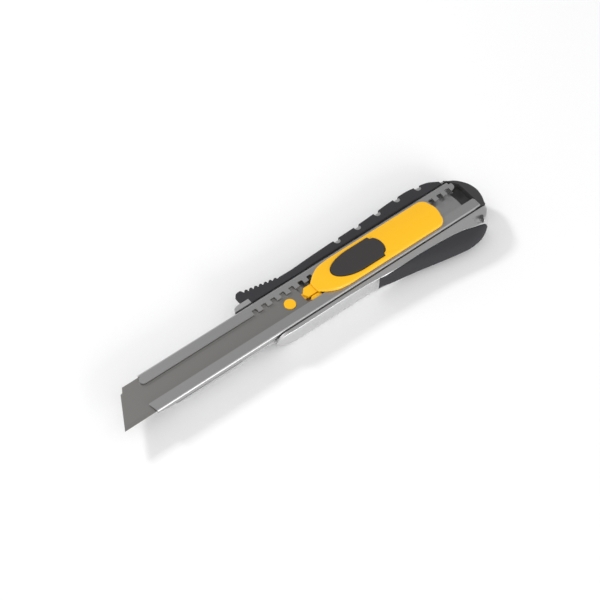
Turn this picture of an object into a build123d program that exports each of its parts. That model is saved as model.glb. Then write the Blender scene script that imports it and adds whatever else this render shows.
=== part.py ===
from build123d import *
import os
from math import cos, pi, radians, sin, tan

# Snap-off utility knife, in millimetres.
# Design frame: X runs from the blade's tip to the butt, with X = 0 at the first rack tooth;
# Y = 0 is the channel's centre line, +Y the spine side; Z = 0 is the top of the channel's lips.
# Every sub-part is moved to the written frame at the end, where the origin is the middle of
# the knife's underside.

# ---- driving dimensions --------------------------------------------------------------
BACK_Z = -10.5                  # flat back of the handle
TIP_X, BUTT_X = -79.74, 120.2   # ends of the whole knife
BELLY_Y, SPINE_Y = -22.0, 18.2  # widest points of the two sides
ORIGIN = Vector((TIP_X + BUTT_X) / 2, (BELLY_Y + SPINE_Y) / 2, BACK_Z)

BLADE_WIDTH, BLADE_LENGTH, BLADE_THICK = 18.0, 100.0, 0.5
BLADE_TOP = -1.0
SNAP_ANGLE = 60                 # of the tip and the score lines
SEGMENT = 10.0                  # from one score line to the next
BEVEL_WIDTH = 1.8
STUD_X = 13.3                   # the hole in the blade and the stud that fills it
BLADE_HOLE, STUD_DIA = 5.6, 5.3

SHEET = 0.7                     # channel's sheet steel
CHANNEL_HALF, CHANNEL_HEIGHT = 9.8, 3.3
SLOT_BELLY, SLOT_SPINE = -4.6, 4.5
RACK_PITCH, NOTCH_WIDTH, NOTCH_TOP, NOTCHES = 5.0, 2.5, 6.7, 23
LIP_REAR, BASE_REAR = 115.0, 109.8
CHIN_START, CHIN_END = -64.9, -47.0   # slope under the channel's front
TONGUE_Z = -4.7                 # underside of the casting below the channel

FLOOR_Z = -CHANNEL_HEIGHT       # the casting's floor, which the channel lies on
NOSE_X, CAST_REAR = -2.6, 112.0
RIM_BELLY, RIM_SPINE = -10.6, 10.3
SKIN = 1.0                      # rubber over the casting's spine
RUBBER_TOP, RUBBER_FOOT = -0.1, -9.2
BELLY_BULGE_Z = -5.2

SCALLOP_FIRST, SCALLOP_PITCH, SCALLOPS, SCALLOP_WIDTH, SCALLOP_DEPTH = 51.0, 12.0, 5, 3.2, 2.6
RIDGE_FIRST, RIDGE_PITCH, RIDGES, RIDGE_HEIGHT = 2.7, 2.3, 7, 0.8

RIVETS = ((-40.0, TONGUE_Z), (-12.0, TONGUE_Z), (60.0, -7.0))  # X and lower end
RIVET_HEAD, RIVET_SHANK, RIVET_CONE = 5.0, 3.0, 0.6

COVER_FRONT, COVER_REAR, COVER_HALF = 26.4, 96.6, 8.1
COVER_LOW, COVER_EDGE, COVER_CROWN = 0.2, 1.3, 2.3
CARRIAGE_FRONT, CARRIAGE_REAR, CARRIAGE_HALF = 28.0, 92.0, 8.9
CARRIAGE_LOW, CARRIAGE_HIGH = -2.5, -0.85
NECK_BELLY, NECK_SPINE = -4.3, 4.2
ARM_HALF, ARM_LOW, ARM_HIGH, ARM_REAR = 2.8, -2.5, -1.6, 58.0
ARM_NECK_HALF, ARM_NECK_REAR = 1.5, 29.0   # the arm's slim front, under the blade
CARRIER_PINS, CARRIER_PIN_DIA = (33.0, 50.0), 1.6
COVER_SCREWS, SCREW_HEAD, SCREW_SHANK = (69.0, 89.0), 3.2, 1.8
POCKET = (42.0, 60.6, 3.5, -1.0)      # front, rear, half width and floor of the button's pocket

PAD_FRONT, PAD_SHOULDER, PAD_POINT, PAD_HALF = 36.4, 61.6, 64.5, 6.0
PAD_LOW, PAD_CROWN, PAD_EDGE = 1.55, 2.75, 2.35
CORE_LOW = 0.95
PAD_GAP = 0.25

LEAF_THICK, LEAF_TOP = 0.3, -1.45
LEAF_FRONT, LEAF_REAR, LEAF_BELLY, LEAF_SPINE = 44.0, 66.5, 4.75, 6.45
TOOTH_FRONT, TOOTH_REAR, TOOTH_TOP = 47.9, 49.6, -0.05
LEAF_RIVET_X, LEAF_RIVET_DIA = 64.0, 1.3
LUG_FRONT, LUG_REAR, LUG_LOW = 53.0, 55.0, -1.15

PLUG_FRONT, PLUG_HALF, PLUG_LOW = 98.0, 4.8, -5.6
CLIP_FRONT, CLIP_REAR, CLIP_THICK = 100.0, 109.0, 0.4
CAP_WALL = 115.3

# Section stations of the belly side: X, then the Y of the top edge, the widest line and the foot.
BELLY_STATIONS = (
    (-3.2, -10.7, -10.9, -9.3),
    (0.5, -11.9, -12.3, -9.8),
    (8.0, -12.3, -12.9, -10.2),
    (30.0, -12.3, -12.9, -10.3),
    (45.0, -12.6, -13.0, -10.5),
    (54.0, -13.2, -13.8, -11.2),
    (64.0, -13.6, -15.4, -12.0),
    (74.0, -13.6, -17.3, -12.8),
    (84.0, -13.9, -19.5, -13.7),
    (93.0, -14.5, -21.2, -14.5),
    (99.0, -15.3, BELLY_Y, -15.1),
    (104.0, -16.2, -21.6, -15.2),
    (108.0, -16.6, -20.4, -15.0),
    (111.0, -16.0, -18.8, -14.4),
    (113.5, -14.5, -16.8, -13.4),
    (116.0, -12.3, -13.8, -11.9),
    (117.3, -10.1, -10.5, -10.3),
)
# Edge of the belly rubber, seen from above.
BELLY_RUBBER_EDGE = (
    (52.6, -13.0), (53.6, -13.35), (57.0, -13.7), (65.0, -13.85), (74.0, -13.75),
    (85.0, -14.0), (93.0, -14.6), (100.0, -15.8), (105.0, -17.2), (109.0, -18.1), (112.4, -18.6),
)
BELLY_RUBBER_FRONT = 52.2
# Outside of the spine rubber behind the thumb ridges, seen from above.
SPINE_LINE = (
    (18.4, 13.9), (24.0, 13.8), (34.0, 14.3), (48.0, 14.8), (60.0, 15.1), (72.0, 15.7),
    (84.0, 16.5), (92.0, 16.7), (98.0, 16.1), (104.0, 15.0), (107.5, 13.2), (109.3, 12.0),
)
CAP_FRONT = 110.8               # where the cap meets the casting on the spine side
CAP_BELLY_Y = -10.2             # where the cap meets the casting on the belly side
# Outside of the butt cap, seen from above.
CAP_LINE = (
    (CAP_FRONT, 11.1), (112.6, 10.2), (115.2, 8.7), (118.0, 5.5), (119.7, 2.0),
    (120.2, -1.5), (119.6, -5.0), (117.2, CAP_BELLY_Y),
)
LANYARD = ((107.0, -12.9), (112.4, -13.9), (109.6, -18.0), (105.9, -16.0))


# ---- small tools ---------------------------------------------------------------------
def block(x0, x1, y0, y1, z0, z1):
    """Rectangular block between two corners."""
    return Pos((x0 + x1) / 2, (y0 + y1) / 2, (z0 + z1) / 2) * Box(x1 - x0, y1 - y0, z1 - z0)


def post(x, y, dia, z0, z1, top_dia=None):
    """Round post or, with a second diameter, a cone that stands along Z."""
    height = z1 - z0
    shape = Cylinder(dia / 2, height) if top_dia is None else Cone(dia / 2, top_dia / 2, height)
    return Pos(x, y, (z0 + z1) / 2) * shape


def plan(edges, z0, z1):
    """Prism that stands on a closed plan outline."""
    return Pos(0, 0, z0) * extrude(make_face(edges), z1 - z0)


def plan_polygon(points, z0, z1):
    """Prism that stands on a polygon."""
    return plan(Polyline(*points, close=True), z0, z1)


def side_profile(points, y0, y1):
    """Prism along Y whose outline is given as X and Z."""
    outline = Plane.XZ.offset(-y0) * make_face(Polyline(*points, close=True))
    return extrude(outline, -(y1 - y0))


def across_x(x):
    """Plane across the knife at X, with its local axes along Y and Z."""
    return Plane(origin=(x, 0, 0), x_dir=(0, 1, 0), z_dir=(1, 0, 0))


def group(shapes):
    """Several separate solids as one shape."""
    total = shapes[0]
    for shape in shapes[1:]:
        total += shape
    return total


def written(shape):
    """Moves a shape from the design frame to the written frame."""
    return Pos(-ORIGIN.X, -ORIGIN.Y, -ORIGIN.Z) * shape


def slopes(stations, column):
    """Slope at each station of a column, flat where the column turns back (monotone cubic)."""
    steps = [
        (after[column] - before[column]) / (after[0] - before[0])
        for before, after in zip(stations, stations[1:])
    ]
    inner = [0 if a * b <= 0 else 2 * a * b / (a + b) for a, b in zip(steps, steps[1:])]
    return [steps[0], *inner, steps[-1]]


def smooth_at(stations, column, x):
    """Value of a column at X, on the smooth line through the stations."""
    slope = slopes(stations, column)
    i = max(k for k in range(len(stations) - 1) if stations[k][0] <= x or k == 0)
    x0, x1 = stations[i][0], stations[i + 1][0]
    y0, y1 = stations[i][column], stations[i + 1][column]
    width = x1 - x0
    t = (x - x0) / width
    rise = (3 - 2 * t) * t * t
    lead = t * (1 - t) ** 2 * slope[i] - t * t * (1 - t) * slope[i + 1]
    return y0 + (y1 - y0) * rise + width * lead


# ---- handle --------------------------------------------------------------------------
def belly_section(x, top, wide, foot):
    """Closed section of the belly side: flat top, two quarter ellipses, flat foot."""
    inner = -8.0
    upper = EllipticalCenterArc((top, BELLY_BULGE_Z), top - wide, -BELLY_BULGE_Z, 90)
    lower = EllipticalCenterArc((foot, BELLY_BULGE_Z), foot - wide, BELLY_BULGE_Z - BACK_Z, 180)
    outline = [
        Line((inner, 0), (top, 0)),
        upper,
        lower,
        Line((foot, BACK_Z), (inner, BACK_Z)),
        Line((inner, BACK_Z), (inner, 0)),
    ]
    return across_x(x) * make_face(outline)


def belly_form():
    """Whole belly side, with the rubber's bulge, in straight facets between close sections."""
    per_span = 2
    stations = []
    for before, after in zip(BELLY_STATIONS, BELLY_STATIONS[1:]):
        for step in range(per_span):
            stations.append(before[0] + (after[0] - before[0]) * step / per_span)
    stations.append(BELLY_STATIONS[-1][0])
    columns = range(1, len(BELLY_STATIONS[0]))
    sections = [belly_section(x, *(smooth_at(BELLY_STATIONS, c, x) for c in columns)) for x in stations]
    return loft(sections, ruled=True)


def belly_rubber_region():
    """Everything outside the edge of the belly rubber."""
    first, last = BELLY_RUBBER_EDGE[0], BELLY_RUBBER_EDGE[-1]
    far = BELLY_Y - 5
    edges = [
        Spline(*BELLY_RUBBER_EDGE),
        Polyline(last, (last[0], far), (BELLY_RUBBER_FRONT, far), (BELLY_RUBBER_FRONT, first[1]), first),
    ]
    return plan(edges, BACK_Z - 1, 1)


def spine_prism(inset, inner, z0, z1):
    """Prism between a line beside the channel and the spine's outline, set in by inset."""
    line = [(x, y - inset) for x, y in SPINE_LINE]
    start, end = line[0], line[-1]
    edges = [
        Spline(*line),
        Polyline(end, (end[0], inner), (start[0], inner), start),
    ]
    return plan(edges, z0, z1)


def scallop(x, z0, z1):
    """Round-cornered notch across the spine's outline, open to the outside."""
    inner = smooth_at(SPINE_LINE, 1, x) - SCALLOP_DEPTH
    half = SCALLOP_WIDTH / 2
    notch = block(x - half, x + half, inner, SPINE_Y + 2, z0, z1)
    return fillet(notch.edges().filter_by(Axis.Z).group_by(Axis.Y)[0], half - 0.3)


def channel_pocket():
    """Space in the casting for the channel, with the open groove beside each lip."""
    low = block(NOSE_X - 10, CAST_REAR + 10, -CHANNEL_HALF - 0.05, CHANNEL_HALF + 0.05, FLOOR_Z, 1)
    groove_z = -2.2
    groove = block(NOSE_X - 10, CAST_REAR + 10, RIM_BELLY, RIM_SPINE, groove_z, 1)
    return low + groove


def lanyard_hole():
    """Four-sided hole with rounded corners, and the wider recess below it."""
    hole = plan_polygon(LANYARD, BACK_Z - 1, 1)
    hole = fillet(hole.edges().filter_by(Axis.Z), 1.0)
    recess = post(109.0, -15.2, 9.0, BACK_Z - 1, -5.0)
    return hole + recess


def rivet(x, low):
    """Flush rivet through the channel's base, with a countersunk head at its top."""
    head_top = -CHANNEL_HEIGHT + SHEET
    head = post(x, 0, RIVET_SHANK, head_top - RIVET_CONE, head_top, RIVET_HEAD)
    return head + post(x, 0, RIVET_SHANK, low, head_top - RIVET_CONE)


def channel_rivets():
    """The rivets that hold the channel on the casting."""
    return group([rivet(x, low) for x, low in RIVETS])


def handle_casting():
    """Die-cast body: tongue below the channel, floor, both walls and the silver butt."""
    floor = side_profile(
        [(2.0, 0.0), (2.0, FLOOR_Z), (NOSE_X + 1.0, TONGUE_Z), (2.4, -7.0), (5.6, -9.2), (9.6, BACK_Z),
         (CAST_REAR, BACK_Z), (CAST_REAR, 0.0)],
        -9.5, RIM_SPINE + 0.1,
    )
    tongue = side_profile(
        [(CHIN_END - 7.3, FLOOR_Z), (CHIN_END, TONGUE_Z), (10.0, TONGUE_Z), (10.0, FLOOR_Z)],
        -CHANNEL_HALF, CHANNEL_HALF,
    )
    nub_line = [(-8.5, 9.8), (-7.4, 11.9), (-5.5, 12.6), (-1.0, 12.6), (20.0, 12.6), (20.0, 9.8)]
    nub = plan_polygon(nub_line, -7.5, -0.05)
    nub_chin = side_profile([(-9, -1.4), (-8.6, -1.4), (-3.4, -8), (-9, -8)], 9.0, 13.0)
    wall_top = RUBBER_TOP - 1.2
    spine_wall = spine_prism(SKIN, RIM_SPINE, BACK_Z, wall_top)
    ramp_core = block(-1.0, 20.0, RIM_SPINE, 12.7, BACK_Z, wall_top)
    spine_post = block(109.3, CAP_FRONT - 0.1, 9.95, 11.2, BACK_Z, -0.4)
    belly_nose = side_profile(
        [(-9, 1), (3.6, 1), (2.2, 0.0), (0.2, -0.6), (-1.4, -2.0), (-2.4, -3.4), (-2.6, -4.4),
         (-1.4, -5.9), (1.2, -7.6), (4.6, -9.2), (9.0, BACK_Z), (9.0, -12), (-9, -12)],
        -25.0, -CHANNEL_HALF,
    )
    belly = belly_form() - belly_nose
    body = floor + tongue + nub - nub_chin + spine_wall + (ramp_core - ramp_underside()) + spine_post
    body = body + (belly - belly_rubber_region())
    body = body - channel_pocket() - cap_region(clearance=0.0) - lanyard_hole()
    # Clear way for the cap as it slides off to the rear.
    body = body - block(CAST_REAR, BUTT_X, CAP_BELLY_Y, 0.0, BACK_Z - 1, 1)
    # Rubber covers the spine wall behind the nub, so the wall stays below it there.
    body = body - block(0.5, 109.3, RIM_SPINE, 20.0, wall_top, 1)
    # The metal comes up to the top in each finger scallop.
    scallop_metal = spine_prism(SKIN, RIM_SPINE + 0.4, wall_top - 0.1, -0.4)
    for x in scallop_places():
        body += scallop(x, wall_top - 0.1, -0.4) & scallop_metal
    body = body - channel_rivets()
    # Socket for the cap's plug.
    body = body - block(PLUG_FRONT - 0.5, CAST_REAR + 1, -PLUG_HALF - 0.1, PLUG_HALF + 0.1,
                        PLUG_LOW - 0.7, FLOOR_Z + 0.1)
    return body - back_panel()


def scallop_places():
    """X of each finger scallop."""
    return [SCALLOP_FIRST + SCALLOP_PITCH * i for i in range(SCALLOPS)]


def ramp_underside():
    """Wedge that slopes the lower front of the thumb ramp."""
    return side_profile([(-4, -1.5), (-3.3, -1.5), (4.2, BACK_Z), (4.2, -12), (-4, -12)], 9.0, SPINE_Y + 2)


def back_panel():
    """Shallow panel in the flat back, crossed by finger ribs."""
    depth = 0.8
    panel = block(16.0, 96.0, -8.5, 9.0, BACK_Z - 1, BACK_Z + depth)
    panel = fillet(panel.edges().filter_by(Axis.Z), 4.0)
    ribs = block(21.0, 22.6, -10, 10, BACK_Z - 1, BACK_Z + depth)
    for i in range(1, 13):
        shift = 5.8 * i
        ribs += block(21.0 + shift, 22.6 + shift, -10, 10, BACK_Z - 1, BACK_Z + depth)
    return panel - ribs


def belly_grip():
    """Rubber swell on the belly side."""
    return belly_form() & belly_rubber_region()


def ridge_points():
    """Plan points of the saw-tooth thumb ridges, from the ramp's top to the spine line."""
    points = []
    for i in range(RIDGES):
        x = RIDGE_FIRST + i * RIDGE_PITCH
        crest = 17.45 - 0.5 * i if i < 4 else 15.55 - 0.32 * (i - 4)
        points.append((x - 0.9, crest - RIDGE_HEIGHT))
        points.append((x - 0.2, crest))
        points.append((x + 0.5, crest - 0.15))
        points.append((x + 1.0, crest - RIDGE_HEIGHT - 0.2))
    return points


def spine_grip():
    """Rubber over the spine: thumb ramp with ridges, long skin and five finger scallops."""
    start = SPINE_LINE[0]
    outline = [(-3.1, 12.7), (-3.1, 16.4), (-2.3, 17.6), (-0.9, 18.2), (0.7, 18.0)]
    outline += ridge_points() + [start, (start[0], RIM_SPINE + 0.1), (0.55, RIM_SPINE + 0.1), (0.55, 12.7)]
    ramp = plan_polygon(outline, RUBBER_FOOT, RUBBER_TOP)
    skin = spine_prism(0, RIM_SPINE + 0.1, RUBBER_FOOT, RUBBER_TOP)
    core_top = RUBBER_TOP - 1.2
    core = spine_prism(SKIN, RIM_SPINE - 1, BACK_Z - 1, core_top)
    core += block(-1.0, 20.0, 9, 12.7, BACK_Z, core_top)
    grip = ramp + skin - core
    nub_space = block(-9.0, 0.5, 9.0, 12.7, BACK_Z, 1)
    grip = grip - nub_space - ramp_underside()
    for x in scallop_places():
        grip -= scallop(x, BACK_Z, 1)
    return grip


# ---- channel -------------------------------------------------------------------------
def channel_section():
    """Folded section of the sheet: base, two walls, two lips."""
    outer = RectangleRounded(2 * CHANNEL_HALF, CHANNEL_HEIGHT, 1.1)
    inner = RectangleRounded(2 * (CHANNEL_HALF - SHEET), CHANNEL_HEIGHT - 2 * SHEET, 0.4)
    slot_middle = (SLOT_BELLY + SLOT_SPINE) / 2
    slot = Pos(slot_middle, CHANNEL_HEIGHT / 2) * Rectangle(SLOT_SPINE - SLOT_BELLY, 2 * SHEET + 0.1)
    return Pos(0, -CHANNEL_HEIGHT / 2) * (outer - inner - slot)


def blade_channel():
    """Folded steel channel with the rack in its spine-side lip."""
    front, rear = CHIN_START, LIP_REAR
    channel = extrude(across_x(front) * channel_section(), rear - front)
    chin = side_profile(
        [(front - 1, -1.2), (front, -1.2), (CHIN_END, TONGUE_Z), (CHIN_END, -6), (front - 1, -6)], -12, 12
    )
    channel -= chin
    channel -= plan_polygon([(-70, 12), (-59.6, 12), (-60.0, 9.6), (-61.2, 6.0), (-60.6, 5.0),
                             (-59.0, SLOT_SPINE), (-59.0, 2), (-70, 2)], -2.0, 1)
    channel -= block(-70, -59.8, 8.0, 12.0, -5, 1)
    channel -= plan_polygon([(-70, -12), (-63.4, -12), (-63.7, -9.4), (-64.8, -4.4), (-70, -4.4)], -5, 1)
    channel -= block(-70, -58.0, -9.0, 9.0, -5, -SHEET - 0.4)
    for i in range(NOTCHES):
        x = RACK_PITCH * i
        notch = block(x - NOTCH_WIDTH, x, SLOT_SPINE - 1, NOTCH_TOP, -SHEET - 0.3, 1)
        channel -= fillet(notch.edges().filter_by(Axis.Z).group_by(Axis.Y)[-1], 0.35)
    # Rear ends: chamfered spine lip, rounded belly lip, curved base.
    channel -= plan_polygon([(110.3, 3), (110.3, 4.5), (112.5, 5.2), (113.0, 7.0), (111.4, 9.9),
                             (111.4, 12), (120, 12), (120, 3)], -2.0, 1)
    channel -= block(111.4, 120, 8.0, 12.0, -5, 1)
    channel -= plan_polygon([(114.0, -4.4), (115.1, -5.4), (115.1, -4.4)], -5, 1)
    channel -= block(BASE_REAR, 120, -9.0, 9.0, -5, -1.0)
    return channel - channel_rivets()


# ---- blade ---------------------------------------------------------------------------
def blade():
    """Snap-off blade: bevelled edge on the belly side, score lines on its underside."""
    half = BLADE_WIDTH / 2
    lean = BLADE_WIDTH / tan(radians(SNAP_ANGLE))
    tail = TIP_X + BLADE_LENGTH
    step_y = 6.5
    step_x = TIP_X + (step_y + half) / tan(radians(SNAP_ANGLE))
    outline = [(TIP_X, -half), (step_x, step_y), (step_x + 1.0, step_y + 0.2),
               (TIP_X + lean + 1.1, half), (tail, half), (tail, -half)]
    low = BLADE_TOP - BLADE_THICK
    sheet = plan_polygon(outline, low, BLADE_TOP)
    bevel_drop = BLADE_THICK / 2 - 0.02
    wedge = Polyline((-half, BLADE_TOP - bevel_drop), (-half + BEVEL_WIDTH, BLADE_TOP),
                     (-half - 1, BLADE_TOP), close=True)
    wedge_low = Polyline((-half, low + bevel_drop), (-half + BEVEL_WIDTH, low), (-half - 1, low), close=True)
    length = BLADE_LENGTH + 2
    for outline_edge in (wedge, wedge_low):
        sheet -= extrude(across_x(TIP_X - 1) * make_face(outline_edge), length)
    for i in range(1, 8):
        x = TIP_X + SEGMENT * i
        score = plan_polygon([(x, -half - 1), (x + 0.25, -half - 1), (x + 0.25 + lean, half + 0.73),
                              (x + lean, half + 0.73)], low - 1, low + 0.12)
        sheet -= score
    return sheet - post(STUD_X, 0, BLADE_HOLE, low - 1, 0)


# ---- slider --------------------------------------------------------------------------
def blade_carrier():
    """Arm under the blade's tail, the stud in the blade's hole and the two nose tabs."""
    arm = block(ARM_NECK_REAR, ARM_REAR, -ARM_HALF, ARM_HALF, ARM_LOW, ARM_HIGH)
    arm = fillet(arm.edges().filter_by(Axis.Z), 1.4)
    arm += block(STUD_X, ARM_NECK_REAR + 1, -ARM_NECK_HALF, ARM_NECK_HALF, ARM_LOW, ARM_HIGH)
    arm += post(STUD_X, 0, STUD_DIA + 1.6, ARM_LOW, ARM_HIGH)
    stud = post(STUD_X, 0, STUD_DIA, ARM_HIGH, -0.7)
    tail = TIP_X + BLADE_LENGTH
    tab = plan_polygon([(tail + 0.3, 0.4), (22.8, 2.7), (27.7, 2.7), (27.7, -2.0), (21.8, -2.0)],
                       ARM_HIGH, -0.1)
    side_tab = plan_polygon([(21.9, -3.7), (23.2, -2.5), (27.7, -2.5), (27.7, -4.4), (22.6, -4.4)],
                            ARM_LOW, -0.6)
    bridge = block(25.0, 27.7, -4.4, 2.7, ARM_LOW, ARM_HIGH)
    carrier = arm + stud + tab + side_tab + bridge
    for x in CARRIER_PINS:
        carrier -= post(x, 0, CARRIER_PIN_DIA, -5, 0)
    return carrier


def carrier_pins():
    """Pins that join the arm to the carriage."""
    low, high = ARM_LOW, POCKET[3]
    return group([
        post(x, 0, CARRIER_PIN_DIA, low, high if x > POCKET[0] else 0.1) for x in CARRIER_PINS
    ])


def slider_carriage():
    """Runner inside the channel, with a neck that rises between the lips."""
    plate = block(CARRIAGE_FRONT, CARRIAGE_REAR, -CARRIAGE_HALF, CARRIAGE_HALF, CARRIAGE_LOW, CARRIAGE_HIGH)
    plate = fillet(plate.edges().filter_by(Axis.Z), 2.0)
    neck = block(CARRIAGE_FRONT, CARRIAGE_REAR, NECK_BELLY, NECK_SPINE, CARRIAGE_HIGH, COVER_LOW)
    neck = fillet(neck.edges().filter_by(Axis.Z), 1.5)
    front, rear, half, floor = POCKET
    carriage = plate + neck - block(front, rear, -half, half, floor, 1)
    carriage -= block(CARRIAGE_FRONT - 1, ARM_REAR + 0.2, -ARM_HALF - 0.1, ARM_HALF + 0.1, -5, ARM_HIGH + 0.05)
    # Slot for the lock spring, its side branch and the button's lug.
    carriage -= block(LEAF_FRONT - 1, 60.0, 4.55, 6.75, -5, 0)
    carriage -= block(60.0, LEAF_REAR + 0.3, 4.55, 6.75, LEAF_TOP - LEAF_THICK, 0)
    carriage -= block(LUG_FRONT - 0.4, LUG_REAR + 0.4, 2.9, 4.6, -5, 1)
    # Pocket for the drag spring.
    carriage -= block(72.0, 86.0, -2.8, 2.8, -5, -1.8)
    for x in CARRIER_PINS:
        carriage -= post(x, 0, CARRIER_PIN_DIA, -5, 0.1 if x < front else 1)
    for x in COVER_SCREWS:
        carriage -= cover_screw(x)
    return carriage - leaf_rivet()


def cover_screw(x):
    """Pan-head screw from below the carriage into the cover."""
    head = post(x, 0, SCREW_HEAD, CARRIAGE_LOW, -1.5)
    return head + post(x, 0, SCREW_SHANK, -1.5, 1.0)


def cover_screws():
    """The two screws that hold the cover."""
    drive = 0.9
    screws = [cover_screw(x) - post(x, 0, drive, CARRIAGE_LOW - 1, CARRIAGE_LOW + 0.5) for x in COVER_SCREWS]
    return group(screws)


def leaf_rivet():
    """Rivet that fixes the lock spring's rear end."""
    middle = (LEAF_BELLY + LEAF_SPINE) / 2
    return post(LEAF_RIVET_X, middle, LEAF_RIVET_DIA, CARRIAGE_LOW, -1.1)


def lock_spring():
    """Leaf spring with the tooth that stands in the rack and the branch under the lug."""
    low = LEAF_TOP - LEAF_THICK
    leaf = block(LEAF_FRONT, LEAF_REAR, LEAF_BELLY, LEAF_SPINE, low, LEAF_TOP)
    tooth = block(TOOTH_FRONT, TOOTH_REAR, LEAF_BELLY, LEAF_SPINE, LEAF_TOP, TOOTH_TOP)
    branch = block(LUG_FRONT, LUG_REAR, 3.15, LEAF_BELLY, low, LEAF_TOP)
    return leaf + tooth + branch - leaf_rivet()


def drag_spring():
    """Bowed leaf that takes up the play between the carriage and the channel's base."""
    thick = 0.2
    upper = ThreePointArc((72.3, -1.81), (79.0, -2.35), (85.7, -1.81))
    lower = ThreePointArc((72.3, -1.81 - thick), (79.0, -2.35 - thick), (85.7, -1.81 - thick))
    ends = [Line((72.3, -1.81), (72.3, -1.81 - thick)), Line((85.7, -1.81), (85.7, -1.81 - thick))]
    profile = Plane.XZ * make_face([upper, lower, *ends])
    return extrude(profile, 2.0, both=True)


def cover_outline():
    """Plan of the cover: pointed front, straight sides, rounded rear."""
    half = COVER_HALF
    nose = [(COVER_FRONT, 2.6), (29.5, 5.0), (32.0, 6.4), (35.0, 7.5), (40.0, half)]
    spine = Spline(*nose, tangents=[(0.9, 1), (1, 0)])
    belly = Spline(*((x, -y) for x, y in reversed(nose)), tangents=[(-1, 0), (-0.9, 1)])
    corner, bow = 4.0, 0.8
    rear = COVER_REAR - bow
    return [
        spine,
        Line((40.0, half), (rear - corner, half)),
        RadiusArc((rear - corner, half), (rear, half - corner), corner),
        ThreePointArc((rear, half - corner), (COVER_REAR, 0), (rear, corner - half)),
        RadiusArc((rear, corner - half), (rear - corner, -half), corner),
        Line((rear - corner, -half), (40.0, -half)),
        belly,
        Line((COVER_FRONT, -nose[0][1]), nose[0]),
    ]


def crowned(z_edge, z_crown, half, z0, x0, x1):
    """Bar along X with a flat foot at z0 and an arched top."""
    wide = half + 0.5
    top = ThreePointArc((-wide, z_edge), (0, z_crown), (wide, z_edge))
    walls = Polyline((wide, z_edge), (wide, z0), (-wide, z0), (-wide, z_edge))
    return extrude(across_x(x0) * make_face([top, walls]), x1 - x0)


def pad_outline(grow):
    """Plan of the thumb pad: half ellipse in front, stepped arrow at the rear."""
    half = PAD_HALF + grow
    straight = 47.5
    front = PAD_FRONT - grow
    steps = 8
    bow = [
        (straight - (straight - front) * sin(pi / 2 * i / steps), half * cos(pi / 2 * i / steps))
        for i in range(steps + 1)
    ]
    mirrored = [(x, -y) for x, y in reversed(bow[:-1])]
    shoulder, point = PAD_SHOULDER + grow, PAD_POINT + grow
    rear = [
        (shoulder - 0.4, -half), (shoulder, -half + 1.5), (point - 0.5, -2.0), (point, -0.9),
        (point, 0.9), (point - 0.5, 2.0), (shoulder, half - 1.5), (shoulder - 0.4, half),
    ]
    return [Spline(*bow, *mirrored), Polyline(mirrored[-1], *rear, bow[0])]


def slider_cover():
    """Yellow cover above the lips, with the window for the thumb pad."""
    cover = plan(cover_outline(), COVER_LOW, 4.0)
    cover &= crowned(COVER_EDGE, COVER_CROWN, COVER_HALF, COVER_LOW, COVER_FRONT - 1, COVER_REAR + 1)
    cover -= side_profile([(COVER_FRONT - 1, 0.9), (COVER_FRONT, 0.9), (29.0, 1.7), (33.5, 2.4),
                           (33.5, 5), (COVER_FRONT - 1, 5)], -10, 10)
    window = plan(pad_outline(PAD_GAP), COVER_LOW - 1, 5)
    cover -= window
    for x in COVER_SCREWS:
        cover -= cover_screw(x)
    return cover


def thumb_pad():
    """Black rubber pad with a crowned top, on the button."""
    pad = plan(pad_outline(0), PAD_LOW, 4.0)
    return pad & crowned(PAD_EDGE, PAD_CROWN, PAD_HALF, PAD_LOW, PAD_FRONT - 1, PAD_POINT + 1)


def button_core():
    """Plate under the pad, the stem in the carriage's pocket and the lug over the spring."""
    plate = plan(pad_outline(0), CORE_LOW, PAD_LOW)
    front, rear, half = POCKET[:3]
    stem = block(front + 0.3, rear - 0.3, 0.3 - half, half - 0.3, 0.2, CORE_LOW)
    lug = block(LUG_FRONT, LUG_REAR, 3.05, 3.9, LUG_LOW, CORE_LOW)
    return plate + stem + lug


def button_spring():
    """Arched leaf that lifts the button."""
    floor, top, thick = POCKET[3], 0.19, 0.2
    front, rear = 43.0, 57.0
    middle = (front + rear) / 2
    upper = ThreePointArc((front, floor + thick), (middle, top), (rear, floor + thick))
    lower = ThreePointArc((front, floor), (middle, top - thick), (rear, floor))
    ends = [Line((front, floor), (front, floor + thick)), Line((rear, floor), (rear, floor + thick))]
    profile = Plane.XZ * make_face([upper, lower, *ends])
    return extrude(profile, 1.8, both=True)


# ---- butt cap ------------------------------------------------------------------------
def cap_region(clearance):
    """The cap's share of the handle, seen from above."""
    first, last = CAP_LINE[0], CAP_LINE[-1]
    front = CAST_REAR + clearance
    inner = [last, (front, CAP_BELLY_Y), (front, 9.95), (CAP_FRONT, 9.95), first]
    return plan([Spline(*CAP_LINE), Polyline(*inner)], BACK_Z, 1)


def end_cap():
    """Black butt cap that pulls off to the rear, with a plug that slides into the casting."""
    shell = cap_region(clearance=0.1) & block(100, 125, -15, 15, BACK_Z + 0.3, -0.05)
    cavity = [(100, -10.1), (CAP_WALL, -10.1), (CAP_WALL, 6.2), (113.4, 7.8), (111.7, 9.95), (100, 9.95)]
    shell -= plan_polygon(cavity, FLOOR_Z - 0.05, 1)
    plug = block(PLUG_FRONT, CAST_REAR + 1, -PLUG_HALF, PLUG_HALF, PLUG_LOW, FLOOR_Z - 0.05)
    return shell + plug


def cap_clip():
    """Steel spring clip under the plug."""
    strip = block(CLIP_FRONT, CLIP_REAR, -2.0, 2.0, PLUG_LOW - CLIP_THICK, PLUG_LOW)
    return strip


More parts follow.
